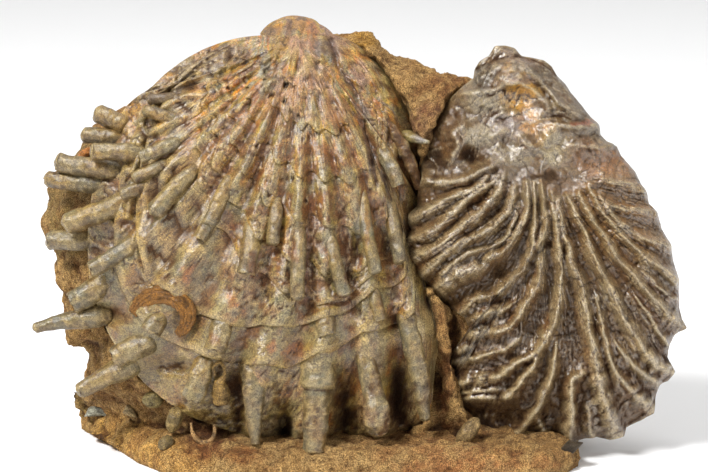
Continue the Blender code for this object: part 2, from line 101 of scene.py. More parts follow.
def chipped(points, size, seed=0):
    # broken plates, one jittered site to each square cell of u and v: the level of the nearest site,
    # and how much nearer it is than the second nearest, in shares of the cell
    p = points[..., :2] / size
    cell = np.floor(p).astype(int)
    best, second = np.full(p.shape[:-1], 9.0), np.full(p.shape[:-1], 9.0)
    level = np.zeros(p.shape[:-1])
    for dx in (-1, 0, 1):
        for dy in (-1, 0, 1):
            i, j = (cell[..., 0] + dx) % 32, (cell[..., 1] + dy) % 32
            shift = 0.5 + 0.45 * np.stack([lattice[i, j, seed], lattice[i, j, seed + 1]], -1)
            gap = np.linalg.norm(p - cell - (dx, dy) - shift, axis=-1)
            second = np.minimum(second, np.maximum(best, gap))
            level = np.where(gap < best, lattice[i, j, seed + 2], level)
            best = np.minimum(best, gap)
    return level, second - best


def plates(points, size, seed=0):
    # the same over a place shifted by noise, so that the borders wander
    shift = spot(*(lumps(points, size * 0.7, seed + step, 3) for step in (2, 5)))
    return chipped(points + 0.35 * size * shift, size, seed)


def smooth(low, high, value):
    # 0 below low, 1 above high, s = t t (3 - 2 t) between
    t = np.clip((value - low) / (high - low), 0, 1)
    return t * t * (3 - 2 * t)


def bump(u, v, centre, radii):
    # exp(-(du / ru)^2 - (dv / rv)^2)
    return np.exp(-((u - centre[0]) / radii[0]) ** 2 - ((v - centre[1]) / radii[1]) ** 2)


def skin(rings, start, end):
    # closed surface: rings of equal length joined by quads, with a fan of triangles at each end
    rows, count = rings.shape[:2]
    points = np.concatenate([rings.reshape(-1, 3), np.asarray([start, end], float)])
    k = np.arange(count)
    after = (k + 1) % count
    r = np.arange(rows - 1)[:, None] * count
    quads = np.stack([r + k, r + after, r + count + after, r + count + k], -1).reshape(-1, 4)
    first = np.full(count, rows * count)
    last = first + 1
    low = np.stack([first, after, k], -1)
    high = np.stack([last, (rows - 1) * count + k, (rows - 1) * count + after], -1)
    return points, quads, np.concatenate([low, high])


def meshOf(name, skins):
    # one mesh from several closed surfaces, turned so that each one's faces point outwards
    allPoints, corners, sizes, offset = [], [], [], 0
    for points, quads, triangles in skins:
        placed = stand(points)
        a, b, c = (placed[triangles[:, i]] for i in range(3))
        volume = (a * np.cross(b, c)).sum()
        for pair in ((0, 1, 2), (0, 2, 3)):
            a, b, c = (placed[quads[:, i]] for i in pair)
            volume += (a * np.cross(b, c)).sum()
        if volume < 0:
            quads, triangles = quads[:, ::-1], triangles[:, ::-1]
        allPoints.append(placed)
        corners += [quads.ravel() + offset, triangles.ravel() + offset]
        sizes += [np.full(len(quads), 4), np.full(len(triangles), 3)]
        offset += len(points)
    sizes = np.concatenate(sizes)
    mesh = bpy.data.meshes.new(name)
    mesh.vertices.add(offset)
    mesh.vertices.foreach_set("co", np.concatenate(allPoints).astype(np.float32).ravel())
    mesh.loops.add(int(sizes.sum()))
    mesh.loops.foreach_set("vertex_index", np.concatenate(corners).astype(np.int32))
    mesh.polygons.add(len(sizes))
    mesh.polygons.foreach_set("loop_start", np.concatenate([[0], np.cumsum(sizes)[:-1]]).astype(np.int32))
    mesh.update(calc_edges=True)
    return mesh


def linked(name, data):
    made = bpy.data.objects.new(name, data)
    bpy.context.scene.collection.objects.link(made)
    return made


def smoothed(mesh):
    mesh.polygons.foreach_set("use_smooth", np.ones(len(mesh.polygons), bool))


def addPiece(name, mesh, material, nodeName):
    # the piece rides on the cluster's one body and stands for its CAD solid
    mesh.materials.clear()
    mesh.materials.append(material)
    smoothed(mesh)
    piece = linked(name, mesh)
    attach(piece, "root")
    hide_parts(nodeName)
    print(name + ":", len(mesh.polygons), "faces")


def remeshed(mesh, size):
    # one even skin round all the overlapping surfaces in the mesh
    holder = linked("holder", mesh)
    step = holder.modifiers.new("remesh", "REMESH")
    step.mode = "VOXEL"
    step.voxel_size = size * 0.001
    step.use_smooth_shade = True
    bpy.context.view_layer.update()
    graph = bpy.context.evaluated_depsgraph_get()
    result = bpy.data.meshes.new_from_object(holder.evaluated_get(graph))
    bpy.data.objects.remove(holder)
    bpy.data.meshes.remove(mesh)
    return result


def vertexValues(mesh, name):
    values = np.empty(len(mesh.vertices) * 3, np.float32)
    mesh.vertices.foreach_get(name, values)
    return values.reshape(-1, 3).astype(float)


def facePoints(mesh):
    return layBack(vertexValues(mesh, "co"))


def faceNormals(mesh):
    # vertex normals turned into the directions of the face
    x, y, z = vertexValues(mesh, "normal").T
    return spot(x, y * sinLean + z * cosLean, z * sinLean - y * cosLean)


def moveTo(mesh, points):
    mesh.vertices.foreach_set("co", stand(points).astype(np.float32).ravel())
    mesh.update()


def relief(mesh, rounds):
    # how far each vertex stands out from its surroundings, in millimetres: its distance along the
    # normal from the mean that repeated averaging with its neighbours gives
    edges = np.empty(len(mesh.edges) * 2, np.int32)
    mesh.edges.foreach_get("vertices", edges)
    a, b = edges.reshape(-1, 2).T
    points = facePoints(mesh)
    mean, count = points.copy(), len(points)
    links = np.bincount(a, minlength=count) + np.bincount(b, minlength=count)
    for _ in range(rounds):
        sums = (np.bincount(a, mean[b, i], count) + np.bincount(b, mean[a, i], count) for i in range(3))
        total = spot(*sums)
        mean = 0.5 * mean + 0.5 * total / np.maximum(links, 1)[:, None]
    return ((points - mean) * faceNormals(mesh)).sum(-1)


def addFlow(mesh, values):
    # where each vertex lies lengthways and crossways of the growth, for the materials' streaks
    layer = mesh.attributes.new("flow", "FLOAT_VECTOR", "POINT")
    layer.data.foreach_set("vector", np.asarray(values, np.float32).ravel())


def tinted(base, mask, colour):
    # base moved towards a screen colour by a mask, 0 to 1
    return base + (np.asarray(colour, float) - base) * np.clip(mask, 0, 1)[..., None]


def layered(base, *layers):
    # masks with their colours, laid over the base in turn
    for mask, colour in layers:
        base = tinted(base, mask, colour)
    return base


def linearLight(screen):
    # screen colours, 0 to 255, into linear light: ((c + 0.055) / 1.055)^2.4, or c / 12.92 near black
    channels = np.clip(screen, 0, 255) / 255
    return np.where(channels > 0.04045, ((channels + 0.055) / 1.055) ** 2.4, channels / 12.92)


# the pieces' colours are given as they look in the studio light, brighter and cooler than the stone
stoneAlbedo = (0.85, 0.74, 0.505)


def addTint(mesh, screen):
    # screen colours, 0 to 255, stored per vertex as linear light
    linear = np.array(stoneAlbedo) * linearLight(screen)
    layer = mesh.color_attributes.new("tint", "FLOAT_COLOR", "POINT")
    colours = np.concatenate([linear, np.ones((len(linear), 1))], 1)
    layer.data.foreach_set("color", colours.astype(np.float32).ravel())


def newMaterial(name):
    material = bpy.data.materials.new(name)
    material.use_nodes = True
    tree = material.node_tree
    return material, tree, tree.nodes["Principled BSDF"]


def node(tree, kind, inputs=(), **values):
    # a node with its settings and its inputs, each input a value or another node's output
    made = tree.nodes.new(kind)
    for key, value in values.items():
        setattr(made, key, value)
    for key, value in dict(inputs).items():
        if isinstance(value, bpy.types.NodeSocket):
            tree.links.new(value, made.inputs[key])
        else:
            made.inputs[key].default_value = value
    return made


def mixed(tree, share, first, second, blend="MIX"):
    inputs = {0: share, 6: first, 7: second}
    return node(tree, "ShaderNodeMix", inputs, data_type="RGBA", blend_type=blend).outputs[2]


def attribute(tree, name, output):
    return node(tree, "ShaderNodeAttribute", attribute_name=name).outputs[output]


def noise(tree, place, scale, detail=4.0, roughness=0.55, distortion=0.0):
    # scale counts lumps to the metre
    inputs = {"Vector": place, "Scale": scale, "Detail": detail, "Roughness": roughness}
    return node(tree, "ShaderNodeTexNoise", {**inputs, "Distortion": distortion}).outputs["Fac"]


def ranged(tree, value, low, high, start=0.0, end=1.0):
    inputs = {"Value": value, "From Min": low, "From Max": high, "To Min": start, "To Max": end}
    return node(tree, "ShaderNodeMapRange", inputs, interpolation_type="SMOOTHSTEP").outputs["Result"]


def maths(tree, operation, first, second=0.0):
    return node(tree, "ShaderNodeMath", {0: first, 1: second}, operation=operation).outputs[0]


def creased(tree, value):
    # |value - 0.5|, which is 0 along thin wandering lines of a noise
    return maths(tree, "ABSOLUTE", maths(tree, "SUBTRACT", value, 0.5))


def bumped(tree, shader, height, distance, strength=1.0):
    # the varnish over the stone fills the grain, so its own bump is weaker
    for socket, share in (("Normal", 1.0), ("Coat Normal", 0.25)):
        inputs = {"Height": height, "Distance": distance, "Strength": strength * share}
        made = node(tree, "ShaderNodeBump", inputs)
        tree.links.new(made.outputs["Normal"], shader.inputs[socket])


# the finishes: roughness, how close the streaks lie (along, across, depth), grains to the metre, share of
# pores, contrast of the mottles, and how much varnish lies on the bright parts
finishes = {
    "clamShell": (0.6, (1.6, 0.5, 1.0), 1000, 0.7, 0.75, 0.7),
    "clamSpine": (0.66, (0.5, 1.4, 1.0), 1300, 0.75, 0.65, 0.65),
    "oysterShell": (0.42, (1.0, 1.0, 1.0), 1000, 0.5, 0.6, 0.88),
    "sandyRock": (0.85, (0.6, 0.6, 0.6), 1300, 1.0, 1.3, 0.0),
    "looseBit": (0.6, (1.2, 1.2, 1.2), 1100, 0.6, 0.8, 0.3),
    "flake": (0.45, (1.2, 1.2, 1.2), 1100, 0.6, 0.8, 0.3),
}


def stoneMaterial(name, finish):
    # the painted tint, mottled by three grains of noise and by streaks along the growth, with thin
    # cracks where a noise passes its middle, and dark pores
    material, tree, shader = newMaterial(name)
    rough, streaks, scale, pits, contrast, coat = finish
    place = node(tree, "ShaderNodeTexCoord").outputs["Object"]
    tint = attribute(tree, "tint", "Color")
    flow = attribute(tree, "flow", "Vector")
    lines = node(tree, "ShaderNodeVectorMath", {0: flow, 1: streaks}, operation="MULTIPLY")
    streak = noise(tree, lines.outputs[0], 1.0, 4, 0.65, 0.6)
    fine = noise(tree, place, scale, 8, 0.72, 0.8)
    dust = noise(tree, place, scale * 3, 3, 0.7)
    coarse = noise(tree, place, scale * 0.3, 6, 0.65, 1.2)
    vein = creased(tree, noise(tree, place, scale * 0.35, 3, 0.6, 2.0))
    wrinkle = creased(tree, noise(tree, place, scale * 0.8, 2, 0.5, 1.6))
    vein = ranged(tree, vein, 0.018, 0.004, 0.0, 1.0)
    crack = maths(tree, "MAXIMUM", vein, ranged(tree, wrinkle, 0.03, 0.0, 0.0, 0.6))
    dark = mixed(tree, 1.0, tint, (0.32, 0.25, 0.18, 1), "MULTIPLY")
    pale = mixed(tree, 1.0, tint, (1.72, 1.74, 1.74, 1), "MULTIPLY")
    mottles = (
        (coarse, 0.50, 0.36, 0.35, dark), (coarse, 0.52, 0.66, 0.25, pale),
        (fine, 0.49, 0.38, 0.55, dark), (fine, 0.54, 0.66, 0.5, pale),
        (streak, 0.48, 0.36, 0.4, dark), (streak, 0.54, 0.68, 0.3, pale),
        (dust, 0.48, 0.41, 0.6, dark), (dust, 0.52, 0.59, 0.65, pale),
    )
    tone = tint
    for value, low, high, share, other in mottles:
        tone = mixed(tree, ranged(tree, value, low, high, 0.0, share * contrast), tone, other)
    pore = ranged(tree, noise(tree, place, scale * 1.3, 2, 0.5), 0.33, 0.29, 0.0, pits)
    hole = maths(tree, "MAXIMUM", pore, crack)
    tone = mixed(tree, maths(tree, "MULTIPLY", hole, 0.75), tone, (*linearLight((54, 35, 22)).tolist(), 1.0))
    tree.links.new(tone, shader.inputs["Base Color"])
    tree.links.new(ranged(tree, fine, 0.35, 0.7, rough + 0.15, rough - 0.15), shader.inputs["Roughness"])
    bright = node(tree, "ShaderNodeRGBToBW", {0: tint}).outputs[0]
    tree.links.new(ranged(tree, bright, 0.04, 0.16, 0.0, coat), shader.inputs["Coat Weight"])
    shader.inputs["Coat Roughness"].default_value = 0.4 * rough
    shader.inputs["Coat IOR"].default_value = 1.2 + 0.8 * coat
    shader.inputs["Specular IOR Level"].default_value = 0.3
    height = fine
    for value, weight in ((streak, 0.4), (coarse, 0.7), (dust, 0.35), (hole, -0.25)):
        height = maths(tree, "ADD", height, maths(tree, "MULTIPLY", value, weight))
    bumped(tree, shader, height, 0.0011, 0.9)
    return material


# the spiny clam, whose angles are in degrees from straight down, positive to the right of its beak
clam = {
    "beak": (-14.0, 108.0),
    "centre": (-16.0, 62.0),
    "halfLengths": (60.0, 33.0, 53.0, 62.0),  # left, right, up, down
    "height": 30.0,
    "wall": 4.5,
    "ribs": (-72, -65, -58, -51, -45, -35, -24, -11.5, -1, 8.5, 18.5, 28, 37),
    "flare": 35.0,  # how much wider the lower right is
    "shoulder": 3.0,  # and the upper right
    "knob": ((-14, 104), (10, 11), 4.1),  # centre, radii and height of the swollen beak
    "ribHeight": 1.2,
    "ribBend": 0.14,  # degrees for each millimetre past bendStart
    "bendStart": 50,
    "ledgeSkew": 0.0034,  # how far a ledge climbs for each degree to the right
    "fanSpokes": 440,
    "otherSpokes": 80,
    "outline": (
        (-96, 9.5), (-84, 24), (-72, 38), (-69, 45.6), (-61, 54.6), (-49.5, 68), (-41, 79), (-33, 87),
        (-24, 94), (-16, 97.7), (-8, 99.5), (1, 100.6), (9.5, 102), (16, 101.5), (20, 98.5), (23, 88),
        (26, 82), (27.5, 70), (30, 62), (35, 52), (45, 43), (56, 34), (68, 25), (79.5, 18), (99, 9),
        (129, 6.6), (174, 6.1), (224, 7.2), (264, 9.5),
    ),
    # growth ledges: share of the way to the margin, drop, reach of the lip, rows of the band above
    "ledges": (
        (0.13, 0.4, 0.2, 9), (0.22, 0.9, 0.4, 12), (0.33, 1.2, 0.6, 15), (0.44, 1.4, 0.8, 16),
        (0.54, 1.6, 0.9, 16), (0.62, 1.9, 1.0, 14), (0.70, 3.0, 1.5, 13), (0.80, 3.0, 1.6, 16),
        (1.0, 1.2, 0.4, 27),
    ),
    # the two boldest ledges, in the middle of the shell, as they run over the face
    "upperLedge": (
        (-51.5, 57), (-50.4, 51), (-48.8, 48.6), (-44.2, 46.8), (-41.4, 43.6), (-40, 42), (-36.3, 41.2),
        (-33, 40.2), (-28.3, 38.5), (-25.3, 38.2), (-22.2, 39), (-17, 38.5), (-14.4, 38.3), (-11, 39.4),
        (-8.8, 40.3), (-5.8, 41.1), (-3.1, 41.7), (-0.2, 43.3), (2, 45.4), (5, 47.6),
    ),
    "lowerLedge": (
        (-56, 47), (-50, 38), (-44, 34), (-38.6, 32.8), (-35.9, 30.8), (-33.4, 30.4), (-30.9, 29.6),
        (-24.8, 29.2), (-21.4, 29.4), (-18.8, 29), (-16.6, 28.2), (-14.4, 29), (-11, 30.9),
        (-8.8, 32.2), (-5.3, 32.5), (-3.1, 33.7), (-0.1, 35.9), (2, 37.2), (4.6, 37.4), (8, 38.6),
    ),
}


def capShare(u, v, centre, halfLengths):
    # (1 - (du / a)^2 - (dv / b)^2)^0.6 over an ellipse with four half-lengths
    left, right, up, down = halfLengths
    across = (u - centre[0]) / np.where(u > centre[0], right, left)
    along = (v - centre[1]) / np.where(v > centre[1], up, down)
    return np.maximum(0.0, 1 - across**2 - along**2) ** 0.6


def clamHeight(u, v):
    # rounded cap, flared at its lower right, with a knob at the beak
    left, right, up, down = clam["halfLengths"]
    right = right + clam["flare"] * smooth(60, 10, v) + clam["shoulder"] * smooth(70, 85, v)
    cap = capShare(u, v, clam["centre"], (left, right, up, down))
    centre, radii, height = clam["knob"]
    return clam["height"] * cap + height * bump(u, v, centre, radii)


def clamFan(angle):
    # share of the fan's ribs and ledges at an angle: none behind the beak
    return smooth(-96, -76, angle) * (1 - smooth(40, 60, angle))


def clamBend(angle, radius):
    # how many degrees a rib has turned at a distance from the beak
    return clam["ribBend"] * clamFan(angle) * (radius - clam["bendStart"])


def clamReach(angle):
    # distance from the beak to the margin along a rib
    places, radii = np.array(clam["outline"], float).T
    reach = np.full(np.shape(angle), 50.0)
    for _ in range(5):
        reach = np.interp(angle - clamBend(angle, reach), places, radii, period=360)
    return reach


def clamSpot(angle, radius):
    # point at a distance from the beak along a rib
    turned = np.radians(angle - clamBend(angle, radius))
    return clam["beak"][0] + radius * np.sin(turned), clam["beak"][1] - radius * np.cos(turned)


def clamPlace(u, v):
    # the way back from a point of the face to its rib angle and its share of the way to the margin
    du, dv = u - clam["beak"][0], clam["beak"][1] - v
    radius = np.hypot(du, dv)
    turned = (np.degrees(np.arctan2(du, dv)) + 96) % 360 - 96
    angle = turned
    for _ in range(3):
        angle = turned + clamBend(angle, radius)
    return angle, radius / clamReach(angle)


def clamPhase(angle):
    # rib number at an angle, whole on each crest
    return np.interp(angle, clam["ribs"], np.arange(len(clam["ribs"])), left=-0.5, right=12.5)


def lineDistance(points, line):
    # distance to a line of points, and how far along it the nearest point lies, 0 to 1
    best = np.full(points.shape[:-1], 1e9)
    where = np.zeros(points.shape[:-1])
    line = np.asarray(line, float)
    steps = np.linalg.norm(np.diff(line, axis=0), axis=1)
    done = 0.0
    for a, b, length in zip(line, line[1:], steps):
        t = np.clip(((points - a) @ (b - a)) / length**2, 0, 1)
        gap = np.linalg.norm(points - (a + t[..., None] * (b - a)), axis=-1)
        near = gap < best
        best = np.where(near, gap, best)
        where = np.where(near, (done + t * length) / steps.sum(), where)
        done += length
    return best, where


def curved(points, count):
    # the points joined by a smooth curve: Catmull-Rom pieces
    p = np.asarray(points, float)
    if len(p) < 3:
        return p
    p = np.concatenate([[2 * p[0] - p[1]], p, [2 * p[-1] - p[-2]]])
    t = np.linspace(0, len(p) - 3 - 1e-6, count)
    k = t.astype(int)
    t = (t - k)[:, None]
    a, b, c, d = p[k], p[k + 1], p[k + 2], p[k + 3]
    return 0.5 * (2 * b + (c - a) * t + (2 * a - 5 * b + 4 * c - d) * t**2 + (3 * b - a - 3 * c + d) * t**3)


# dark hollows between the big lower spines: centre, radii, depth
clamHollows = (
    ((10.5, 20), (2.6, 9), 8), ((-17.2, 10), (1.6, 6), 7), ((21, 24), (2.6, 12), 7),
    ((19, 43), (2.0, 3), 4), ((-28.5, 17), (2.4, 9), 5), ((-2.5, 16), (2.6, 8), 5),
    ((-62, 39.5), (4, 2), 3), ((-43, 27), (5, 2.2), 2.5), ((0.8, 56), (1.6, 5), 3),
    ((-4, 49), (3, 2.4), 3), ((9.5, 38), (2.4, 2.6), 4),
)
# small round borings: centre, radius, depth
clamPits = (
    (-16.7, 96.2, 0.7, 1.3), (-8.8, 101, 1.2, 0.7), (-17, 92, 0.5, 1.0), (-20, 93.5, 0.5, 0.8),
    (-15.5, 89.5, 0.45, 0.8), (-15, 73, 0.5, 1.0), (-20.5, 69, 0.6, 0.9), (-11.8, 67.5, 0.5, 1.0),
    (-31, 95.4, 0.5, 0.8), (-13.6, 88.4, 0.5, 0.7), (5.5, 17.3, 0.8, 1.6), (-23.6, 81, 0.5, 0.7),
    (-26.5, 97.5, 0.9, 0.7),
)
# ridges and, with a negative height, grooves: half width, height, then the line over the face
clamLines = (
    (0.8, -1.7,
     ((-6, 108), (-5, 105), (-4, 101), (-2, 98), (0, 95),
      (1.5, 90), (2.5, 86), (4, 80), (4.5, 77), (5.5, 72))),
    (1.2, 2.6, ((7.5, 88), (9.6, 85.4), (12, 82), (14, 77), (16.5, 71))),
    (1.6, 1.1, ((-15.3, 104.3), (-19, 101), (-23, 97), (-28, 90))),
    (0.9, 1.0, ((-16.7, 105), (-24, 101.5), (-31.7, 97), (-38, 93))),
    (0.8, -1.0, ((-17, 102), (-23, 98.8), (-30, 94))),
    (1.2, 1.1, ((-18, 98.4), (-24.7, 93.4), (-30, 86.4), (-33, 82), (-37, 77))),
    (1.4, 1.4, ((-19.5, 92), (-21.9, 86.4), (-25.1, 78.4), (-28.9, 72.1))),
    (1.3, 1.1, ((-12, 96), (-16, 88), (-19.6, 80), (-22.6, 72), (-24.5, 64))),
    (1.2, 1.1, ((-10, 95), (-11, 87), (-12.5, 78), (-13.5, 64))),
    (1.1, 1.0, ((-7.6, 95), (-7, 86), (-6.6, 76), (-6.5, 62))),
    (1.1, 1.1, ((-5, 97), (-2, 88), (0, 80), (1.5, 71))),
    (0.4, 0.5, ((-6, 112), (-1, 106), (4, 99), (8, 91))),
    (0.4, 0.5, ((-4.6, 111.4), (0.6, 105), (6, 98))), (0.4, 0.5, ((-7.4, 110), (-2.6, 103), (1.4, 96))),
    (0.5, 0.6, ((-3, 111), (2.4, 105.4), (9, 97), (13, 89))),
    (0.7, 0.9, ((-51.5, 56), (-50.6, 50.5), (-47.8, 47.6), (-44.4, 46.4))),
    (0.6, 0.8, ((-43, 68.6), (-42.5, 64.5), (-39, 62.4), (-36, 65), (-36.4, 68.4))),
    (0.7, 0.9, ((-53.6, 58), (-53.4, 52.4), (-51, 48.4))),
    (0.9, 0.9, ((-13, 114), (-14.6, 108), (-16, 101), (-16.6, 97))),
    (0.8, 0.8, ((-10, 114), (-11, 108), (-12, 99))), (0.9, 0.9, ((-17, 113), (-18.8, 108), (-22, 102))),
    (0.8, 0.8, ((-7, 113), (-8, 107), (-8, 99))), (3.4, 1.8, ((-24, 31), (-24.6, 20), (-24.4, 12))),
    (4.4, 2.0, ((-8.9, 33), (-9.2, 22), (-9.6, 12))), (3.2, 2.4, ((0.6, 39), (4.4, 22), (6, 12))),
    (3.0, 2.0, ((11.6, 45), (16.2, 24), (17.6, 15))),
    (1.0, 1.7, ((-52.4, 83), (-53.4, 78), (-54.6, 72.5), (-55.6, 64))),
    (1.0, 1.4, ((-47, 84), (-49.4, 77), (-51, 72.4), (-51.7, 64), (-54.5, 58))),
    (0.8, 1.1, ((-44.4, 78), (-46.4, 72.6), (-46.8, 66), (-48.4, 61))),
    (0.8, 1.2, ((-59.4, 62), (-57.4, 60.4), (-55, 61.4), (-54.6, 57), (-57.6, 55.6))),
    (0.5, -0.8, ((-15.4, 113), (-17, 107), (-19.4, 101))),
    (0.5, -0.8, ((-11.6, 114), (-12.8, 108), (-14, 100))),
)


def clamLedges(angle):
    # one row of shares for each ledge: skewed with the angle, pushed out at the ribs, and wavy
    crest = np.cos(2 * np.pi * clamPhase(angle))
    flat = spot(angle * 0.8, 0.0)
    rows = []
    for number, (share, _, _, _) in enumerate(clam["ledges"]):
        skew = clam["ledgeSkew"] * np.clip(angle, -40, 20) * min(1.0, share / 0.6, (1 - share) / 0.2)
        own = flat + 31 * number
        wave = 0.012 * crest + 0.012 * lumps(own, 8, 2) + 0.006 * lumps(own, 3, 3)
        rows.append(share + skew + 4 * share * (1 - share) * wave)
    for number, line in ((6, clam["upperLedge"]), (7, clam["lowerLedge"])):
        lineAngle, lineShare = clamPlace(*np.array(line, float).T)
        order = np.argsort(lineAngle)
        drawn = np.interp(angle, lineAngle[order], lineShare[order])
        drawn = drawn + 0.0022 * np.maximum(0, angle - lineAngle.max())
        drawn = drawn + 0.002 * np.minimum(0, angle - lineAngle.min())
        rows[number] = drawn + 0.003 * lumps(flat + 5 * number, 1.6, 3)
    for k in range(len(rows) - 2, -1, -1):
        rows[k] = np.minimum(rows[k], rows[k + 1] - 0.03)
    return np.array(rows)


def clamValve():
    # rows run from the beak to the margin: each band climbs to its ledge as drop t^1.5, and the ledge
    # ends in a lip that hangs over a narrow notch, where the next band starts
    fan = np.linspace(-96, 60, clam["fanSpokes"], endpoint=False)
    angle = np.concatenate([fan, np.linspace(60, 264, clam["otherSpokes"], endpoint=False)])
    ledges = clamLedges(angle)
    reach = clamReach(angle)
    fanShare = clamFan(angle)
    share, climb, notch, edge = [], [], [], []
    before, beforeDrop = np.full(angle.shape, 0.02), 0.0
    for (level, drop, lip, count), ledge in zip(clam["ledges"], ledges):
        for t in 1 - np.linspace(1, 0, count) ** 1.25:
            share.append(before + (ledge - before) * t)
            climb.append(np.full(angle.shape, drop * t**1.5))
            notch.append(np.full(angle.shape, beforeDrop * 0.45 * (1 - t) ** 10))
            edge.append(np.full(angle.shape, t**12))
        turns = ((lip, 0.12, 0), (lip * 1.15, 0.3, 0), (lip * 0.7, 0.55, 0.1), (-0.4, 0.9, 0.5))
        for number, (out, fall, cut) in enumerate(turns):
            share.append(ledge + (out * fanShare + 0.1 * (number + 1) * (1 - fanShare)) / reach)
            climb.append(np.full(angle.shape, drop * (1 - fall)))
            notch.append(np.full(angle.shape, drop * cut))
            edge.append(np.full(angle.shape, 1.0 - cut))
        before, beforeDrop = ledge + (0.5 - 0.7 * fanShare) / reach, drop
    share, climb, notch, edge = (np.array(rows) for rows in (share[:-4], climb[:-4], notch[:-4], edge[:-4]))
    radius = share * reach
    u, v = clamSpot(angle, radius)
    flat = spot(u, v)
    crest = np.cos(2 * np.pi * clamPhase(angle))
    leftwards = fanShare * smooth(-16, -36, angle) * smooth(0.3, 0.55, share)
    ribs = clam["ribHeight"] * (np.abs((crest + 1) / 2) ** 0.8 * 2 - 1) * smooth(0.05, 0.5, share)
    ribs = ribs * (1 - 0.6 * smooth(-38, -50, angle))
    worn = 0.75 + 0.5 * lumps(flat, 11, 12)
    rise = (climb * (0.7 + 0.3 * crest) * worn - notch + ribs * (1 - 0.6 * leftwards)) * fanShare
    for width, height, line in clamLines:
        gap, where = lineDistance(flat[..., :2], curved(line, 5 * len(line)))
        rise = rise + height * np.exp(-((gap / width) ** 2)) * (0.75 + 0.25 * np.sin(where * 9))
    for pitU, pitV, size, depth in clamPits:
        rise = rise - depth * smooth(1.25, 0.75, np.hypot(u - pitU, v - pitV) / size)
    rough = 0.30 * lumps(flat, 6, 1, 2) + 0.16 * lumps(flat, 2.4, 2, 2)
    rough = rough + 0.12 * lumps(flat, 1.2, 4) * smooth(55, 85, v)
    rough = rough + (1 - fanShare) * smooth(4, 10, radius) * (0.9 * lumps(flat, 4, 9, 3, 0.6))
    # crumpled growth: sharp-crested folds 0.6 - 1.5 |noise| drawn out along the margin, broken plates and
    # fine radial creases
    folds = spot(radius + 3 * lumps(flat, 8, 4), angle * 0.25)
    frill = 0.6 - 1.5 * np.abs(lumps(folds, 2.6, 6, 2))
    level, border = plates(flat, 4.4, 3)
    broken = 0.5 * level - 0.5 * smooth(0.14, 0.0, border)
    creases = np.abs(lumps(spot(radius * 0.12, angle * 0.9), 1.0, 4, 3))
    creases = 0.4 * creases * smooth(3, 12, radius) * (0.15 + 0.45 * smooth(50, 32, radius))
    frilled = frill * (0.22 + 0.6 * leftwards)
    rough = rough + fanShare * (frilled + broken * (0.3 + 0.35 * smooth(0.3, 0.6, share)))
    rough = rough + creases * (1 - 0.6 * smooth(-30, -46, angle))
    rough = rough + smooth(26, 14, v) * lumps(flat, 3.2, 11, 3, 0.7)
    rough = rough + 0.30 * (0.3 - np.abs(lumps(flat + 0.3 * folds, 1.3, 14, 2))) * smooth(2, 8, radius)
    # calmer on the plates between the two boldest ledges and on the left flank
    rough = rough * (1 - 0.55 * smooth(41, 38, v) * smooth(26, 30, v))
    rough = rough * (1 - 0.45 * smooth(-24, -36, u) * smooth(80, 70, v) * smooth(14, 20, v))
    front = spot(u, v, clamFloor(u, v) + rise + rough - 0.5)
    backU, backV = clamSpot(angle, np.linspace(1, 0.1, 9)[:, None] * reach)
    back = spot(backU, backV, clamFloor(backU, backV) - clam["wall"])
    top = clamHeight(*clam["beak"])
    ends = (*clam["beak"], top), (*clam["beak"], top - clam["wall"])
    mesh = meshOf("clamValve", [skin(np.concatenate([front, back]), *ends)])
    # lengthways and crossways of the growth, which runs straight down over the beak
    crown = smooth(16, 6, radius)
    lengthways = radius * (1 - crown) - (v - 98) * crown
    crossways = angle * 0.9 * (1 - crown) + 2.0 * u * crown
    layers = np.stack([lengthways, crossways, 0 * share, edge * fanShare, frill * leftwards], -1)
    layers = np.concatenate([layers.reshape(-1, 5), np.zeros((back.size // 3 + 2, 5))])
    return mesh, layers[:, :3], layers[:, 3], layers[:, 4]


def clamFloor(u, v):
    # the clam's smooth height, less the dark hollows between the big lower spines
    return clamHeight(u, v) - sum(depth * bump(u, v, centre, radii) for centre, radii, depth in clamHollows)


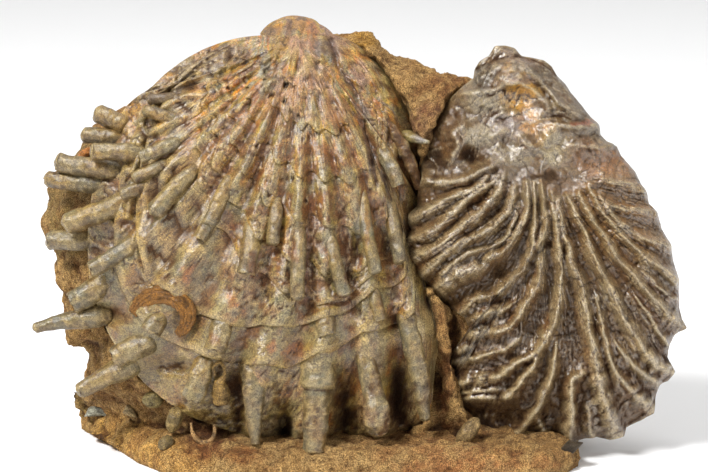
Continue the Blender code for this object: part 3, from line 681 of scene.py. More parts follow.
# base u, v; tip u, v; rise of the tip over its base; widths at base and tip; end (0 rounded, 1 hollow)
clamSpines = (
    (-56, 86.2, -63.4, 89.4, -3, 5.2, 4.8, 0), (-58, 83.4, -66.6, 84.1, -3, 4.4, 4.0, 0),
    (-50, 79.0, -64.0, 80.0, -1, 4.6, 4.3, 0), (-57, 74.4, -73.0, 77.4, -4, 5.0, 4.8, 0),
    (-61.5, 71.4, -76, 73.2, -4, 5.4, 4.0, 0), (-54.5, 68.2, -70.6, 62.0, -3, 6.0, 5.0, 0),
    (-64.5, 58, -75.6, 57.8, -5, 5.0, 4.8, 0), (-61, 40, -79.4, 36, -3, 7, 2.5, 0),
    (-38, 76.4, -48.6, 65.2, 1, 4.0, 4.8, 0), (-29.5, 74, -35, 62.5, 2.5, 3.8, 3.8, 0),
    (-49.5, 59.5, -64.5, 51, -3, 4.6, 4.2, 1), (-60, 48.5, -69.5, 42.5, -4, 6, 6, 1),
    (-43, 93.6, -50.5, 92.6, 0, 3.2, 2.6, 0), (-43.5, 87.5, -51.5, 90, 0, 4.2, 2.6, 0),
    (-49, 33.5, -59, 29, -3, 5.5, 6, 1), (-53, 28, -68.3, 20.7, -3.5, 7.2, 3.8, 0),
    (-35.5, 30, -40, 19, -2, 6, 5.5, 1), (-31.5, 40, -34, 31, 1, 5.5, 5.5, 1),
    (-24.5, 63, -26, 50, 2.5, 5, 4.5, 1), (-13.7, 63, -13.5, 44.3, 2, 3.8, 3.6, 0),
    (-6.5, 60, -2.3, 45, 0.5, 3.2, 3.6, 0), (1.8, 70, 5, 50.5, 1.5, 3, 3.4, 0),
    (9, 68, 11, 53, 2, 3.6, 3.4, 0), (6.5, 82, 11, 71.5, 1, 4, 3.5, 1),
    (3.5, 48, 6.5, 38.5, 0.5, 4, 3.2, 1), (-7.5, 41, -6.5, 35, 1, 5, 5, 1),
    (12.4, 84, 18.6, 82.3, 3, 4, 1.0, 0), (-47.5, 40, -50, 35.5, 1, 5, 5.5, 1),
    (-42.5, 82.2, -52, 78.5, 0.5, 3.8, 3.6, 0), (-45.5, 76.8, -53.5, 73.4, 0.5, 3.4, 3.2, 0),
    (-49.5, 72.4, -56.5, 69.2, 0, 3.4, 3.2, 0), (-33, 66.5, -37.5, 58.5, 1, 3.4, 3.6, 1),
    (-18.8, 68, -19.6, 57.5, 1.5, 3.2, 3.2, 0),
)


# the four big spines over the foot and, last, the twisted cord at the right: u, v and w of points along
# each, then shares of its length with the widths there
clamBigSpines = (
    (((-24.2, 30, 20.2), (-24.6, 20, 21.4), (-24.4, 8, 20.3)), ((0, 7.6), (0.35, 6.4), (0.7, 4.4), (1, 2.4))),
    (((-8.8, 34.5, 20), (-8.9, 24, 21.5), (-9.4, 14, 21.3), (-9.8, 6.4, 20.6)),
     ((0, 8.2), (0.2, 8.8), (0.36, 9.0), (0.40, 8.8), (0.42, 6.6), (0.7, 6.2), (1, 5.4))),
    (((0.6, 39, 20), (2.6, 30, 21.5), (4.4, 22, 21.8), (5.4, 16, 22), (6.0, 11, 20.6)),
     ((0, 4.6), (0.35, 5.0), (0.55, 5.4), (0.74, 7.0), (0.88, 7.0), (1, 5.0))),
    (((11.6, 45.5, 16.8), (13.8, 35, 17.8), (16.2, 24, 17.2), (17.6, 13.8, 15.6)),
     ((0, 4.4), (0.3, 5.2), (0.7, 5.0), (1, 2.8))),
    (((7.0, 89, 14.2), (9.6, 85.2, 14.8), (12, 81.4, 13.6), (14.2, 76.6, 12), (16.4, 71, 9)),
     ((0, 1.6), (0.3, 3.0), (0.7, 3.2), (1, 2.2))),
)
spineLook = {
    "steps": 34,  # rings along a small spine
    "bigSteps": 60,
    "sides": 30,
    "firstBig": 50,  # number of the first big spine
    "rough": 0.045,
    "cordRough": 0.14,
    # the side of the spine before the cord is brown only where it is turned from the light, which is painted
    # shade; the cord is brown all round in its own colour
    "brownAndShadeFrom": 630,  # crossways places past this are brown: the cord and a side of the spine before it
    # share of the width and reach of each ring over the tip
    "hollowTip": ((0.97, 0.03), (0.86, 0.02), (0.72, -0.10), (0.64, -0.35), (0.5, -0.6)),
    "roundTip": ((0.97, 0.05), (0.88, 0.12), (0.70, 0.19), (0.42, 0.24), (0.16, 0.26)),
}


def tubeRings(path, widths, sides, seed, rough=0.06):
    # rings square to a path of face points, their radius swollen by noise
    path = np.asarray(path, float)
    along = np.gradient(path, axis=0)
    along /= np.linalg.norm(along, axis=1, keepdims=True)
    side = np.cross(along, [0, 0, 1.0])
    side /= np.linalg.norm(side, axis=1, keepdims=True)
    up = np.cross(side, along)
    turn = np.linspace(0, 2 * np.pi, sides, endpoint=False)
    out = side[:, None] * np.cos(turn)[None, :, None] + up[:, None] * np.sin(turn)[None, :, None]
    rings = path[:, None] + out * (np.asarray(widths, float) / 2)[:, None, None]
    swell = lumps(rings, 2.2, seed, 2) * rough * 2
    return path[:, None] + (rings - path[:, None]) * (1 + swell)[..., None]


def spine(number, u0, v0, u1, v1, rise, wide, narrow, hollow):
    # path and widths of a tube from inside the shell to its tip, arched a little
    t = np.linspace(0, 1, spineLook["steps"])
    du, dv = u1 - u0, v1 - v0
    length = math.hypot(du, dv)
    low = clamHeight(np.array(u0), np.array(v0))
    w = low - 0.55 * wide + (rise + 0.55 * wide) * t**0.8 + 0.8 * np.sin(np.pi * t)
    sway = 0.012 * length * np.sin(1.7 * np.pi * t + number)
    path = spot(u0 + du * t - sway * dv / length, v0 + dv * t + sway * du / length, w)
    return spineTube(number, path, (wide + (narrow - wide) * t**0.8) * smooth(-0.35, 0.25, t), hollow)


def bigSpine(number, points, profile):
    # a tube along given points, its width read from its profile
    t = np.linspace(0, 1, spineLook["bigSteps"])
    places, widths = np.transpose(profile)
    return spineTube(number, curved(points, len(t)), np.interp(t, places, widths), 0)


def spineTube(number, path, widths, hollow):
    # a tube with growth rings exp(-(s / 0.09)^2) every 3.7 mm; the tip is rounded off, or hollow like a
    # drinking straw. The flow holds the length, the side and, last, 0 inside the hollow
    t = np.linspace(0, 1, len(path))
    length, narrow = np.linalg.norm(path[-1] - path[0]), widths[-1]
    rings = 0.035 * np.exp(-((((t * length / 3.7 + 0.37 * number) % 1.0) - 0.5) / 0.09) ** 2)
    cord = number == spineLook["firstBig"] + len(clamBigSpines) - 1
    rough = spineLook["cordRough" if cord else "rough"]
    outer = tubeRings(path, widths * (1 + rings), spineLook["sides"], number, rough)
    outer = outer + 0.22 * lumps(outer, 1.6, 7, 2)[..., None] * np.array([0, 0, 1.0])
    step = path[-1] - path[-2]
    step = step / np.linalg.norm(step) * narrow
    shape = spineLook["hollowTip" if hollow else "roundTip"]
    caps = np.array([path[-1] + (outer[-1] - path[-1]) * shrink + step * out for shrink, out in shape])
    caps = caps + 0.09 * narrow * lumps(caps, 1.3, number, 2)[..., None]
    end = path[-1] + step * (shape[-1][1] + (0 if hollow else 0.01))
    lengthways = np.append(t, np.ones(len(caps)))[:, None] * length
    outside = np.ones((len(lengthways), 1))
    if hollow:
        outside[-3:] = 0
    flow = spot(lengthways, np.arange(spineLook["sides"]) * 0.5 + 40 + 11 * number, outside)
    closed = skin(np.concatenate([outer, caps]), path[0] - (path[1] - path[0]) * 1.5, end)
    return closed, np.concatenate([flow.reshape(-1, 3), flow[:1, 0], flow[-1:, 0]])


def clamSpineMesh():
    made = [spine(number, *row) for number, row in enumerate(clamSpines)]
    made += [bigSpine(number, *row) for number, row in enumerate(clamBigSpines, spineLook["firstBig"])]
    return meshOf("clamSpines", [part[0] for part in made]), np.concatenate([part[1] for part in made])


# stained patches on the shell, and one patch of painted shade: centre, radii, colour
clamStainsAndShade = (
    ((-30, 43.4), (0.9, 2.2), (196, 122, 58)), ((-41, 49.5), (0.9, 2.4), (190, 118, 60)),
    ((-46, 59.5), (1.8, 1.4), (196, 148, 70)), ((-20, 31.5), (0.9, 1.4), (186, 118, 62)),
    ((4.5, 95), (0.8, 1.4), (206, 156, 74)), ((9.5, 80), (1.0, 1.4), (196, 152, 78)),
    ((-40, 81), (1.4, 3.0), (166, 112, 70)), ((-12.6, 105), (0.7, 2.4), (190, 126, 72)),
    ((-29, 38.4), (1.3, 0.9), (184, 114, 58)), ((-14.4, 55), (0.8, 2.6), (138, 92, 60)),
    ((-34, 34), (1.2, 2.0), (160, 112, 70)), ((-24.4, 51), (0.9, 5), (132, 88, 56)),
    ((-18.6, 52.6), (0.8, 3.4), (138, 90, 58)), ((3, 60), (0.7, 5), (176, 136, 74)),
    ((-2, 42.6), (2.6, 1.4), (104, 66, 40)), ((-24, 92), (1.0, 3.6), (176, 118, 66)),
    ((-30, 21), (2.4, 3.0), (96, 60, 38)), ((11.4, 41.4), (1.4, 1.1), (190, 146, 74)),
    ((-16.4, 103), (1.1, 1.2), (190, 172, 108)), ((-1.6, 54), (0.8, 4.4), (96, 62, 40)),
    ((5.4, 26), (1.4, 6), (120, 92, 56)), ((-8.5, 106), (2.4, 2.0), (126, 102, 96)),
    ((-18, 93), (4, 5), (160, 118, 78)), ((17, 47), (1.6, 3), (180, 156, 84)),
    ((18.4, 60), (1.0, 5), (182, 154, 80)), ((12.4, 91), (1.4, 3), (164, 160, 128)),
    ((13.6, 84), (1.8, 2.4), (174, 164, 110)), ((-6.6, 41), (2.2, 1.0), (190, 170, 98)),
    ((11, 13), (4, 6), (112, 76, 48)), ((3, 16), (2.4, 3), (150, 116, 88)),
    # on the next line, the near-black patch at (-33.1, 26.2) is painted shade in the mouth of the worm tube
    ((-8, 9), (2.6, 4), (168, 134, 84)), ((-33.1, 26.2), (0.9, 1.6), (58, 36, 24)),
    ((-50, 94.5), (8, 2.4), (116, 98, 78)), ((-40, 100.5), (6, 2.6), (112, 96, 80)),
    ((-30, 104), (5, 2), (116, 96, 76)), ((-10.4, 110), (1.0, 3.4), (204, 138, 84)),
    ((-16.4, 110), (1.6, 3), (152, 128, 124)), ((-6.6, 111), (1.2, 2.6), (196, 156, 152)),
    ((-13.2, 112), (1.4, 2.4), (214, 168, 110)), ((-19, 106), (2, 2.4), (176, 146, 78)),
    ((-13, 107), (3.0, 2.6), (214, 172, 160)), ((-4, 107.4), (2.0, 2.6), (200, 158, 156)),
    ((-20, 110), (2.0, 1.6), (150, 128, 116)), ((-9, 99), (3.2, 4.0), (214, 172, 158)),
    ((2, 99), (1.6, 4.2), (206, 170, 168)), ((-5, 90), (3.4, 2.6), (200, 156, 132)),
    ((-22, 99), (1.2, 5.0), (170, 172, 166)), ((8, 98), (1.4, 3.6), (208, 196, 132)),
    ((-15, 94), (3.0, 3.0), (206, 156, 108)),
)


def stained(tint, points, stains, small, lift=1.0):
    # soft-edged ovals of colour, their edges broken by noise
    u = points[:, 0] + 0.9 * lumps(points, 2.2, 3, 2)
    v = points[:, 1] + 0.9 * lumps(points, 2.2, 9, 2)
    for centre, radii, colour in stains:
        ring = ((u - centre[0]) / radii[0]) ** 2 + ((v - centre[1]) / radii[1]) ** 2
        tint = tinted(tint, 0.8 * smooth(2.2, 0.2, ring + 1.3 * small), lift * np.array(colour))
    return tint


spineStains = (((17.6, 82.6), (3, 1.6), (220, 214, 202)),)  # the pale spine at the right
# colour, noise seed and share of the clam's bright patches
clamBlotches = (
    ((222, 160, 72), 21, 0.8), ((214, 180, 172), 22, 0.85),
    ((212, 188, 96), 23, 0.8), ((156, 158, 158), 24, 0.9),
)
# colours of the broken plates, from the lowest level to the highest
clamPatches = (
    (118, 74, 38), (222, 136, 48), (162, 136, 84), (220, 188, 78), (130, 138, 108), (174, 162, 158),
)
spinePatches = (
    (106, 82, 48), (156, 132, 82), (146, 140, 116), (190, 162, 88), (128, 132, 102), (176, 170, 150),
)


def clamTint(mesh, flow, edge, frill, spines=False):
    # screen colours laid over each other where the masks say
    points = facePoints(mesh)
    u, v = points[:, 0], points[:, 1]
    lengthways, crossways = flow[:, 0], flow[:, 1]
    finely, standing, broadly = relief(mesh, 3), relief(mesh, 10), relief(mesh, 60)
    broad, small, tiny = lumps(points, 13, 3, 3), lumps(points, 3.5, 6, 3), lumps(points, 1.5, 2, 2)
    level, border = plates(points * (1, 1, 0), 4.4, 3)
    streak = lumps(spot(lengthways * 0.12, crossways * 0.9), 1.0, 4, 3)
    fromBeak = np.hypot(u - clam["beak"][0], v - clam["beak"][1])
    upper = smooth(58, 88, v + 6 * broad) * smooth(66, 44, fromBeak + 8 * small)
    left = smooth(-24, -44, u + 5 * broad) * smooth(28, 40, v)
    # the ground: khaki and grey-green, ochre at the left, broken into plates
    tint = layered(
        np.zeros((len(points), 3)) + (154, 134, 98),
        (smooth(-0.1, 0.7, broad), (148, 142, 114)),
        (0.8 * smooth(0.0, 0.6, small), (176, 148, 80)),
        (0.8 * smooth(0.0, 0.6, -small), (136, 130, 114)),
        ((0.25 if spines else 0.7) * smooth(0.15, 0.6, lumps(points, 2.6, 27, 2)), (164, 112, 62)),
        (0.7 * left, (172, 150, 84)),
        (0.5 * smooth(0.2, 0.9, level), (140, 140, 124)),
        (0.5 * smooth(0.2, 0.9, -level), (168, 134, 76)),
        (0.75 * upper, (212, 162, 100)),
    )
    # bright patches, mostly round the beak: orange, pink, yellow and blue-grey
    for colour, seed, share in clamBlotches:
        blotch = smooth(0.1, 0.4, lumps(points, 4.6, seed, 3) + 0.15 * streak)
        tint = tinted(tint, (0.12 + 0.88 * upper) * share * blotch, colour)
    tint = layered(
        tint,
        (0.5 * upper * smooth(74, 86, v) * smooth(0.05, 0.5, streak), (218, 194, 172)),
        (0.5 * upper * smooth(70, 84, v) * smooth(0.15, 0.7, -streak), (150, 104, 62)),
        (smooth(30, 16, v + 5 * small) * (0.3 if spines else 0.7), (136, 104, 68)),
    )
    if not spines:
        between = smooth(31, 23, v + 4 * small) * smooth(-24, -12, u) + smooth(23, 15, v + 4 * small)
        tint = tinted(tint, 0.85 * between, (120, 90, 56))
    # yellow lips and frills, and painted highlight: pale on all that stands out
    pale = smooth(0.02, 0.35, standing) + 0.8 * smooth(0.1, 1.2, broadly)
    tint = layered(
        tint,
        (0.9 * smooth(0.2, 1.0, edge) * smooth(-0.9, 0.1, small), (212, 180, 92)),
        (0.8 * smooth(0.05, 0.4, frill) * smooth(-0.7, 0.2, small), (196, 164, 82)),
        (pale * (0.5 - 0.2 * upper) * smooth(-0.8, 0.3, small + tiny), (200, 186, 146)),
        (0.7 * left * smooth(0.02, 0.3, standing), (212, 178, 84)),
    )
    if spines:
        # grey-green, painted shade in brown on the sides turned from the light, painted highlight in silver
        # where they face it, painted shade in the hollow tips
        towardsLight = faceNormals(mesh) @ np.array([-0.2, 0.45, 0.87])
        tint = layered(
            tint,
            (0.6 * smooth(-0.3, 0.5, small + 0.2), (144, 136, 110)),
            (0.5 * smooth(0.1, 0.7, broad + 0.4 * small), (140, 122, 80)),
            (0.8 * smooth(9, 3, lengthways + 4 * small) * (crossways > 30), (172, 138, 72)),
            (0.8 * smooth(0.72, 0.2, towardsLight + 0.25 * small), (112, 88, 48)),
            (0.25, (152, 148, 138)),
            (0.45 * smooth(0.84, 0.99, towardsLight + 0.12 * small), (200, 195, 182)),
        )
        # painted shade: near-black on the big spine's hole at (5.6, 17.3) and inside the hollow tips; brown
        # on the cord in its own colour, and as painted shade on the side of the spine before it that is
        # turned from the light
        cordBrownAndShade = (crossways > spineLook["brownAndShadeFrom"]) * smooth(-0.9, 0.0, tiny)
        tint = 0.94 * layered(
            stained(tint, points, spineStains, small),
            (0.9 * smooth(0.9, 0.5, np.hypot(u - 5.6, v - 17.3)), (40, 26, 18)),
            (0.85 * (flow[:, 2] < 0.5), (62, 44, 28)),
            (0.85 * cordBrownAndShade, (112, 74, 40)),
        )
    # plates of two sizes, each in one colour read from the palettes
    places = np.linspace(-0.9, 0.9, len(clamPatches))
    calm = 1.0 if spines else 0.75 * left[:, None]
    for size, seed in ((4.4, 4), (2.4, 9)):
        patch, rim = plates(spot(lengthways * 0.55, crossways * 1.1), size, seed)
        value = patch + 0.4 * small
        bold, dull = (
            spot(*(np.interp(value, places, channel) for channel in np.transpose(palette)))
            for palette in (clamPatches, spinePatches)
        )
        share = 0.25 if spines else 0.5 + 0.1 * upper
        tint = tinted(tint, share * smooth(0.0, 0.2, rim), bold * (1 - calm) + dull * calm)
    warm = lumps(points, 5, 41, 2)[:, None]
    speck = lumps(points, 1.9, 43, 2)[:, None] * upper[:, None]
    tint = tint * (1 + 0.11 * warm * (1.0, 0.4, -1.3)) * (1 + 0.12 * speck * (1.0, 0.6, -1.4))
    tint = tint * (1 + 0.12 * upper[:, None] * (1.0, 0.95, 0.85))
    tint = tint * (1 + 0.1 * (smooth(-30, -42, u) * smooth(38, 28, v))[:, None])
    if not spines:
        # along the ribs: silvery crests, yellow flanks and brown valleys; then grey and rusty parts
        crest = np.cos(2 * np.pi * clamPhase(crossways / 0.9)) + 0.5 * small
        ribbed = (lengthways > 16) * smooth(-62, -50, crossways) * smooth(94, 80, v) * smooth(22, 30, v)
        ribbed = ribbed * (1 - 0.6 * left)
        grey = smooth(0.0, 0.35, lumps(points, 4.2, 34, 2)) * smooth(14, 24, lengthways) * (1 - 0.7 * upper)
        rust = smooth(0.0, 0.4, lumps(points, 3.0, 33, 4) - 0.3 * crest) * np.maximum(ribbed, 0.5 * left)
        tint = layered(
            tint,
            (0.5 * ribbed * smooth(0.2, 1.0, crest), (168, 164, 148)),
            (0.5 * ribbed * np.exp(-((crest + 0.05) ** 2) / 0.08), (190, 156, 72)),
            (0.45 * ribbed * smooth(-0.3, -1.0, crest), (104, 68, 38)),
            (0.5 * grey, (140, 142, 122)),
            (0.65 * rust, (136, 84, 44)),
            (0.75 * smooth(-22, -32, u) * smooth(36, 26, v) * smooth(-0.9, 0.1, small), (158, 140, 78)),
            (0.55 * smooth(41, 37, v) * smooth(26, 30, v) * (1 - rust), (170, 156, 112)),
        )
    # painted shade, dark in all that lies deep, and painted highlight, pale on the finest crests
    cord, _ = lineDistance(points[:, :2], clamLines[1][2])
    groove, _ = lineDistance(points[:, :2], clamLines[0][2])
    return layered(
        stained(tint, points, clamStainsAndShade, small),
        (0.8 * smooth(1.7, 0.6, cord + 0.4 * small), (118, 82, 48)),
        (0.6 * smooth(0.10, 0.0, border) * smooth(0.2, -0.4, small), (84, 56, 34)),
        (0.55 * smooth(0.01, 0.12, finely), (228, 208, 160)),
        (0.8 * smooth(0.02, 0.18, -finely), (92, 60, 32)),
        (0.65 * smooth(0.03, 0.5, -standing), (98, 68, 38)),
        (0.9 * smooth(0.3, 1.9, -broadly), (62, 40, 22)),
        (0.6 * smooth(1.6, 0.2, groove + 0.9 * small) * (points[:, 2] > 8), (112, 88, 88)),
    )


clamShape, clamFlow, clamEdge, clamFrill = clamValve()
addFlow(clamShape, clamFlow)
addTint(clamShape, clamTint(clamShape, clamFlow, clamEdge, clamFrill))
addPiece("clamValve", clamShape, stoneMaterial("clamShell", finishes["clamShell"]), "spiny_clam_shell")

spineShape, spineFlow = clamSpineMesh()
addFlow(spineShape, spineFlow)
addTint(spineShape, clamTint(spineShape, spineFlow, 0 * spineFlow[:, 0], 0 * spineFlow[:, 0], True))
addPiece("clamSpines", spineShape, stoneMaterial("clamSpine", finishes["clamSpine"]), "spiny_clam_shell")

# the ribbed oyster
oyster = {
    "centre": (47.0, 58.0),
    "marginHeight": 4.2,
    "height": 15.0,
    "tilt": 6.5,
    "wall": 4.6,
    "valley": 0.27,  # depth between two crests as a share of their spacing
    "boss": (47.5, 74),  # where the crests start
    "stainLift": 1.1,
    "outline": (
        (17, 74), (16, 70), (15.8, 66.5), (13.6, 64.5), (13.4, 62), (14.4, 60.6), (12.5, 58.6),
        (12.4, 55.5), (13.6, 53), (14.4, 51), (17, 48), (19.8, 45.8), (21.5, 43.4), (25, 40.3),
        (27.6, 38.6), (28.7, 36.2), (27.2, 33.5), (25.2, 31), (24.4, 28.5), (25.2, 26), (23.2, 23.6),
        (23.4, 21), (22.2, 18.4), (22.8, 15.6), (26, 14.8), (30, 13.6), (33, 9), (36.5, 6.8), (40, 8.6),
        (43.5, 6.4), (48, 6.6), (52.4, 8.4), (54.6, 7), (58.5, 8), (61, 8.3), (64.5, 7.6), (68.2, 8.6),
        (68.8, 10.6), (72.5, 12.4), (75.6, 14.4), (76, 17.4), (77, 21.6), (79.5, 22.4), (80.8, 25.2),
        (78.8, 28.4), (79.2, 31.6), (81, 34.2), (83.8, 35.8), (82.7, 38), (82, 42), (81.6, 48),
        (80.6, 53), (79.8, 56.8), (77.8, 60.5), (76.4, 65), (74.2, 67.2), (73.9, 69.6), (72.4, 72),
        (71, 75.4), (69, 77.6), (67.4, 79.2), (66.4, 81.6), (63.6, 82.8), (62, 84.6), (61.8, 87),
        (59.6, 89), (57, 92.4), (54.6, 95.2), (53.4, 97.6), (51.4, 99.6), (50, 102), (48, 103.4),
        (42.2, 104.4), (40.6, 106.5), (38, 107), (35.4, 106.8), (34, 104.4), (31.6, 103), (30.4, 101),
        (30, 98.6), (26, 95.4), (23, 92.4), (20.6, 87.6), (18.6, 82.6), (16.8, 79), (16.2, 76.4),
    ),
    "around": 640,
    "along": 120,
}

# crests: half width, height, sharpness (0 round, 1 sharp), then the points of its line
oysterCrests = (
    (1.5, 1.6, 0.2, ((34, 76), (30, 74.2), (25, 72.6), (20.5, 72), (17, 73))),
    (1.7, 1.9, 0.1,
     ((33, 73.6), (30, 71), (26.5, 69.6), (22.5, 67.5), (20, 65.8), (17, 64.6), (13.6, 63.6))),
    (1.8, 2.0, 0.1, ((35.4, 73), (31, 70.4), (27, 67.4), (24, 64.6), (22, 62), (19, 59.8), (12.8, 58))),
    (2.0, 2.2, 0.1,
     ((37, 73.5), (35, 69), (32.6, 66), (29, 63.4), (26, 60.8), (22.5, 57.6), (19.5, 55.6), (14, 53.4))),
    (1.7, 2.0, 0.2,
     ((39.5, 71), (38.5, 65.5), (35, 62.2), (31, 59.8),
      (26.5, 57.4), (23.5, 55.4), (20, 52.6), (16.6, 49.6))),
    (0.9, 1.3, 0.5,
     ((40.6, 66), (39, 61), (36, 57.4), (31, 55.6), (27.5, 54.4), (24.4, 52.2), (21.4, 49.6))),
    (1.4, 2.2, 0.3, ((42.6, 72), (42.6, 65), (41, 61), (39.4, 58.4), (36.5, 55), (33, 53.6))),
    (2.6, 2.2, 0.0, ((32.4, 51.6), (29, 50.8), (25, 49.2), (22, 46.8), (20.8, 45.6))),
    (1.1, 1.9, 0.6,
     ((44.6, 72), (44.6, 62), (43.6, 55), (42.4, 51.6), (40, 49), (37.5, 46.6), (35.6, 44.8))),
    (1.6, 1.5, 0.1, ((33.4, 44), (30, 43.4), (27.6, 41), (26.6, 40))),
    (0.9, 1.4, 0.6, ((40, 42.6), (37, 40.6), (33.4, 39.8), (30.4, 38.6))),
    (1.3, 2.6, 0.7, ((46.3, 73), (47, 67), (47.4, 63), (46.8, 59.6), (45, 56.6))),
    (1.4, 2.6, 0.5,
     ((46.6, 55), (46, 51), (44.6, 45.6), (42, 41.4), (39.5, 37.8), (36.6, 36), (34.7, 35.4))),
    (1.8, 1.5, 0.1, ((32.6, 35.6), (30.4, 34.4))),
    (0.8, 1.1, 0.6, ((41, 33.4), (38, 31.6), (34, 30), (30, 28.6), (25, 27.3))),
    (1.3, 1.2, 0.2, ((29, 31.4), (26.6, 30.6))),
    (1.4, 2.8, 0.5, ((49, 70), (49.6, 62), (50.4, 56), (51.3, 50), (50.4, 42), (48.4, 35), (45.6, 30.6))),
    (1.2, 2.3, 0.4, ((45.6, 31), (43.6, 29), (40, 27.4), (36.4, 24.2), (34.8, 23.4))),
    (1.1, 2.4, 0.4, ((45.4, 30.4), (44.6, 27), (42, 23.5), (39.4, 20), (38, 18.6))),
    (1.9, 1.9, 0.0, ((32.4, 24), (31.4, 22.8))),
    (1.4, 1.7, 0.1, ((28.8, 22.8), (26, 22.2), (23.6, 22.8))),
    (1.3, 1.4, 0.3, ((35, 18.4), (31, 18.6), (27, 18), (23.4, 16.4))),
    (0.7, 0.8, 0.6, ((36, 20.4), (32, 20.4), (27, 19.8))),
    (1.2, 2.6, 0.4, ((50.2, 32), (49.7, 27), (48, 22), (46.4, 17.4), (44, 13.4), (41, 9.6), (39.4, 8.4))),
    (1.6, 2.9, 0.2, ((56.6, 25), (54.2, 23), (53.8, 18), (54, 13), (53.6, 8))),
    (1.5, 1.5, 0.3, ((46.4, 12.6), (47.6, 9.6), (48.4, 7))),
    (1.7, 3.0, 0.5,
     ((50.4, 68), (51.2, 60), (52.8, 56.4), (54, 51.8), (56, 47), (57.2, 40), (58.8, 33), (60, 27))),
    (2.6, 2.7, 0.1, ((60, 27), (61.4, 20), (63.6, 14), (65.8, 8.6))),
    (1.0, 1.6, 0.6, ((59.8, 43), (61.4, 37), (62.6, 33), (63.6, 28.6), (66, 24), (69, 20.4))),
    (1.8, 2.0, 0.2, ((68, 21.4), (71, 18.6), (75, 15))),
    (1.7, 3.5, 0.6,
     ((52.6, 69), (54.6, 64), (57, 60), (58.4, 55.6), (60.4, 51.6), (62.8, 47), (65.6, 41),
      (68.6, 36.4), (71, 32.4))),
    (1.9, 3.2, 0.3, ((71, 32.4), (74, 28.6), (77, 26.4), (80.4, 25))),
    (1.7, 3.4, 0.6,
     ((55.4, 69), (59.6, 62), (62.4, 58.4), (64.2, 55), (66, 52.2), (69, 49.6), (72, 46.4),
      (75, 43), (78, 39.6))),
    (1.9, 3.0, 0.4, ((78, 39.6), (81, 37.8), (83.4, 36))),
    (1.5, 2.6, 0.6, ((58, 71), (62, 64.4), (65.5, 60.4), (69, 56.2), (72, 53.8), (76, 51.4), (81, 48))),
    (1.4, 1.9, 0.5, ((61, 69), (64.6, 63.6), (68, 60.4), (72, 58.2), (76, 57), (79.6, 56.2))),
    (1.4, 1.1, 0.3, ((62, 67.4), (66, 66.2), (71, 65.4), (76, 64.8))),
    (1.5, 0.9, 0.2, ((62, 73), (68, 72), (73, 70.4))),
    (0.8, 0.9, 0.6, ((70, 44), (74, 38.6), (77, 34), (78.6, 31.4))),
    (0.7, 0.8, 0.6, ((72.4, 50), (75.4, 47), (79, 44), (81.4, 43))),
    (0.7, 0.9, 0.6, ((64.4, 33), (68, 29), (71.6, 25.4), (76.6, 22))),
    (0.7, 0.8, 0.6, ((58.4, 16), (58.6, 12), (60, 8.6))),
    (1.0, 1.0, 0.4, ((24, 94.4), (30, 94.8), (35, 95.4), (38, 97), (42, 97), (45.4, 94.8), (48.6, 91))),
    (0.9, 1.0, 0.4, ((44, 100.4), (47.4, 96.6), (51, 93), (55.6, 89.4))),
    (1.0, 1.0, 0.4, ((51, 86.4), (56, 86.2), (61, 86.8))),
    (0.9, 0.8, 0.4, ((56, 81.6), (60, 81.4), (65, 82))),
    (1.2, 0.9, 0.3, ((24, 78), (25.4, 81), (25, 84.6), (27, 85.8))),
)
# round swellings and hollows of the hinge end: centre, radii, height
oysterSwells = (
    ((31.4, 83.6), (4.4, 2.2), 2.2), ((38.6, 78.2), (5.4, 2.6), 2.0), ((29.4, 78), (3.2, 2.2), -2.2),
    ((30, 92), (4.0, 2.6), 1.6), ((38, 101), (6.4, 6), 5.0), ((47.6, 74.2), (2.4, 1.6), -1.8),
    ((35.4, 50.4), (2.2, 1.5), -2.4), ((34.8, 56.4), (3.4, 0.9), -1.0), ((53, 83), (5, 3), 0.8),
    ((63, 78), (4.5, 3.5), 0.9), ((20.6, 79.6), (2.2, 3.4), -0.9), ((38, 14), (3, 5), -2.4),
    ((31, 15.4), (3.4, 1.4), -1.6), ((48, 14), (1.6, 4), -1.2),
)


def oysterReach(turn):
    # distance r from the centre to the margin, with 1 / r mixed in a line between the outline's points,
    # which is close to a straight side where the sides are short
    du, dv = (np.array(oyster["outline"], float) - oyster["centre"]).T
    places = np.degrees(np.arctan2(dv, du)) % 360
    order = np.argsort(places)
    return 1 / np.interp(turn, places[order], 1 / np.hypot(du, dv)[order], period=360)


def oysterInside(u, v):
    # share of the way from the centre to the margin, taken as a rounded line without its zigzag
    du, dv = u - oyster["centre"][0], v - oyster["centre"][1]
    turn = np.degrees(np.arctan2(dv, du)) % 360
    spread = sum(oysterReach((turn + step) % 360) for step in range(-14, 15, 4)) / 8
    return np.hypot(du, dv) / spread


def oysterHeight(u, v):
    # a cap (1 - s^2)^0.62 over the share s of the way to the margin, raised at the left
    cap = np.maximum(0.0, 1 - oysterInside(u, v) ** 2) ** 0.62
    tilt = oyster["tilt"] * smooth(40, 12, u) * smooth(8, 30, v)
    return oyster["marginHeight"] + oyster["height"] * cap + tilt


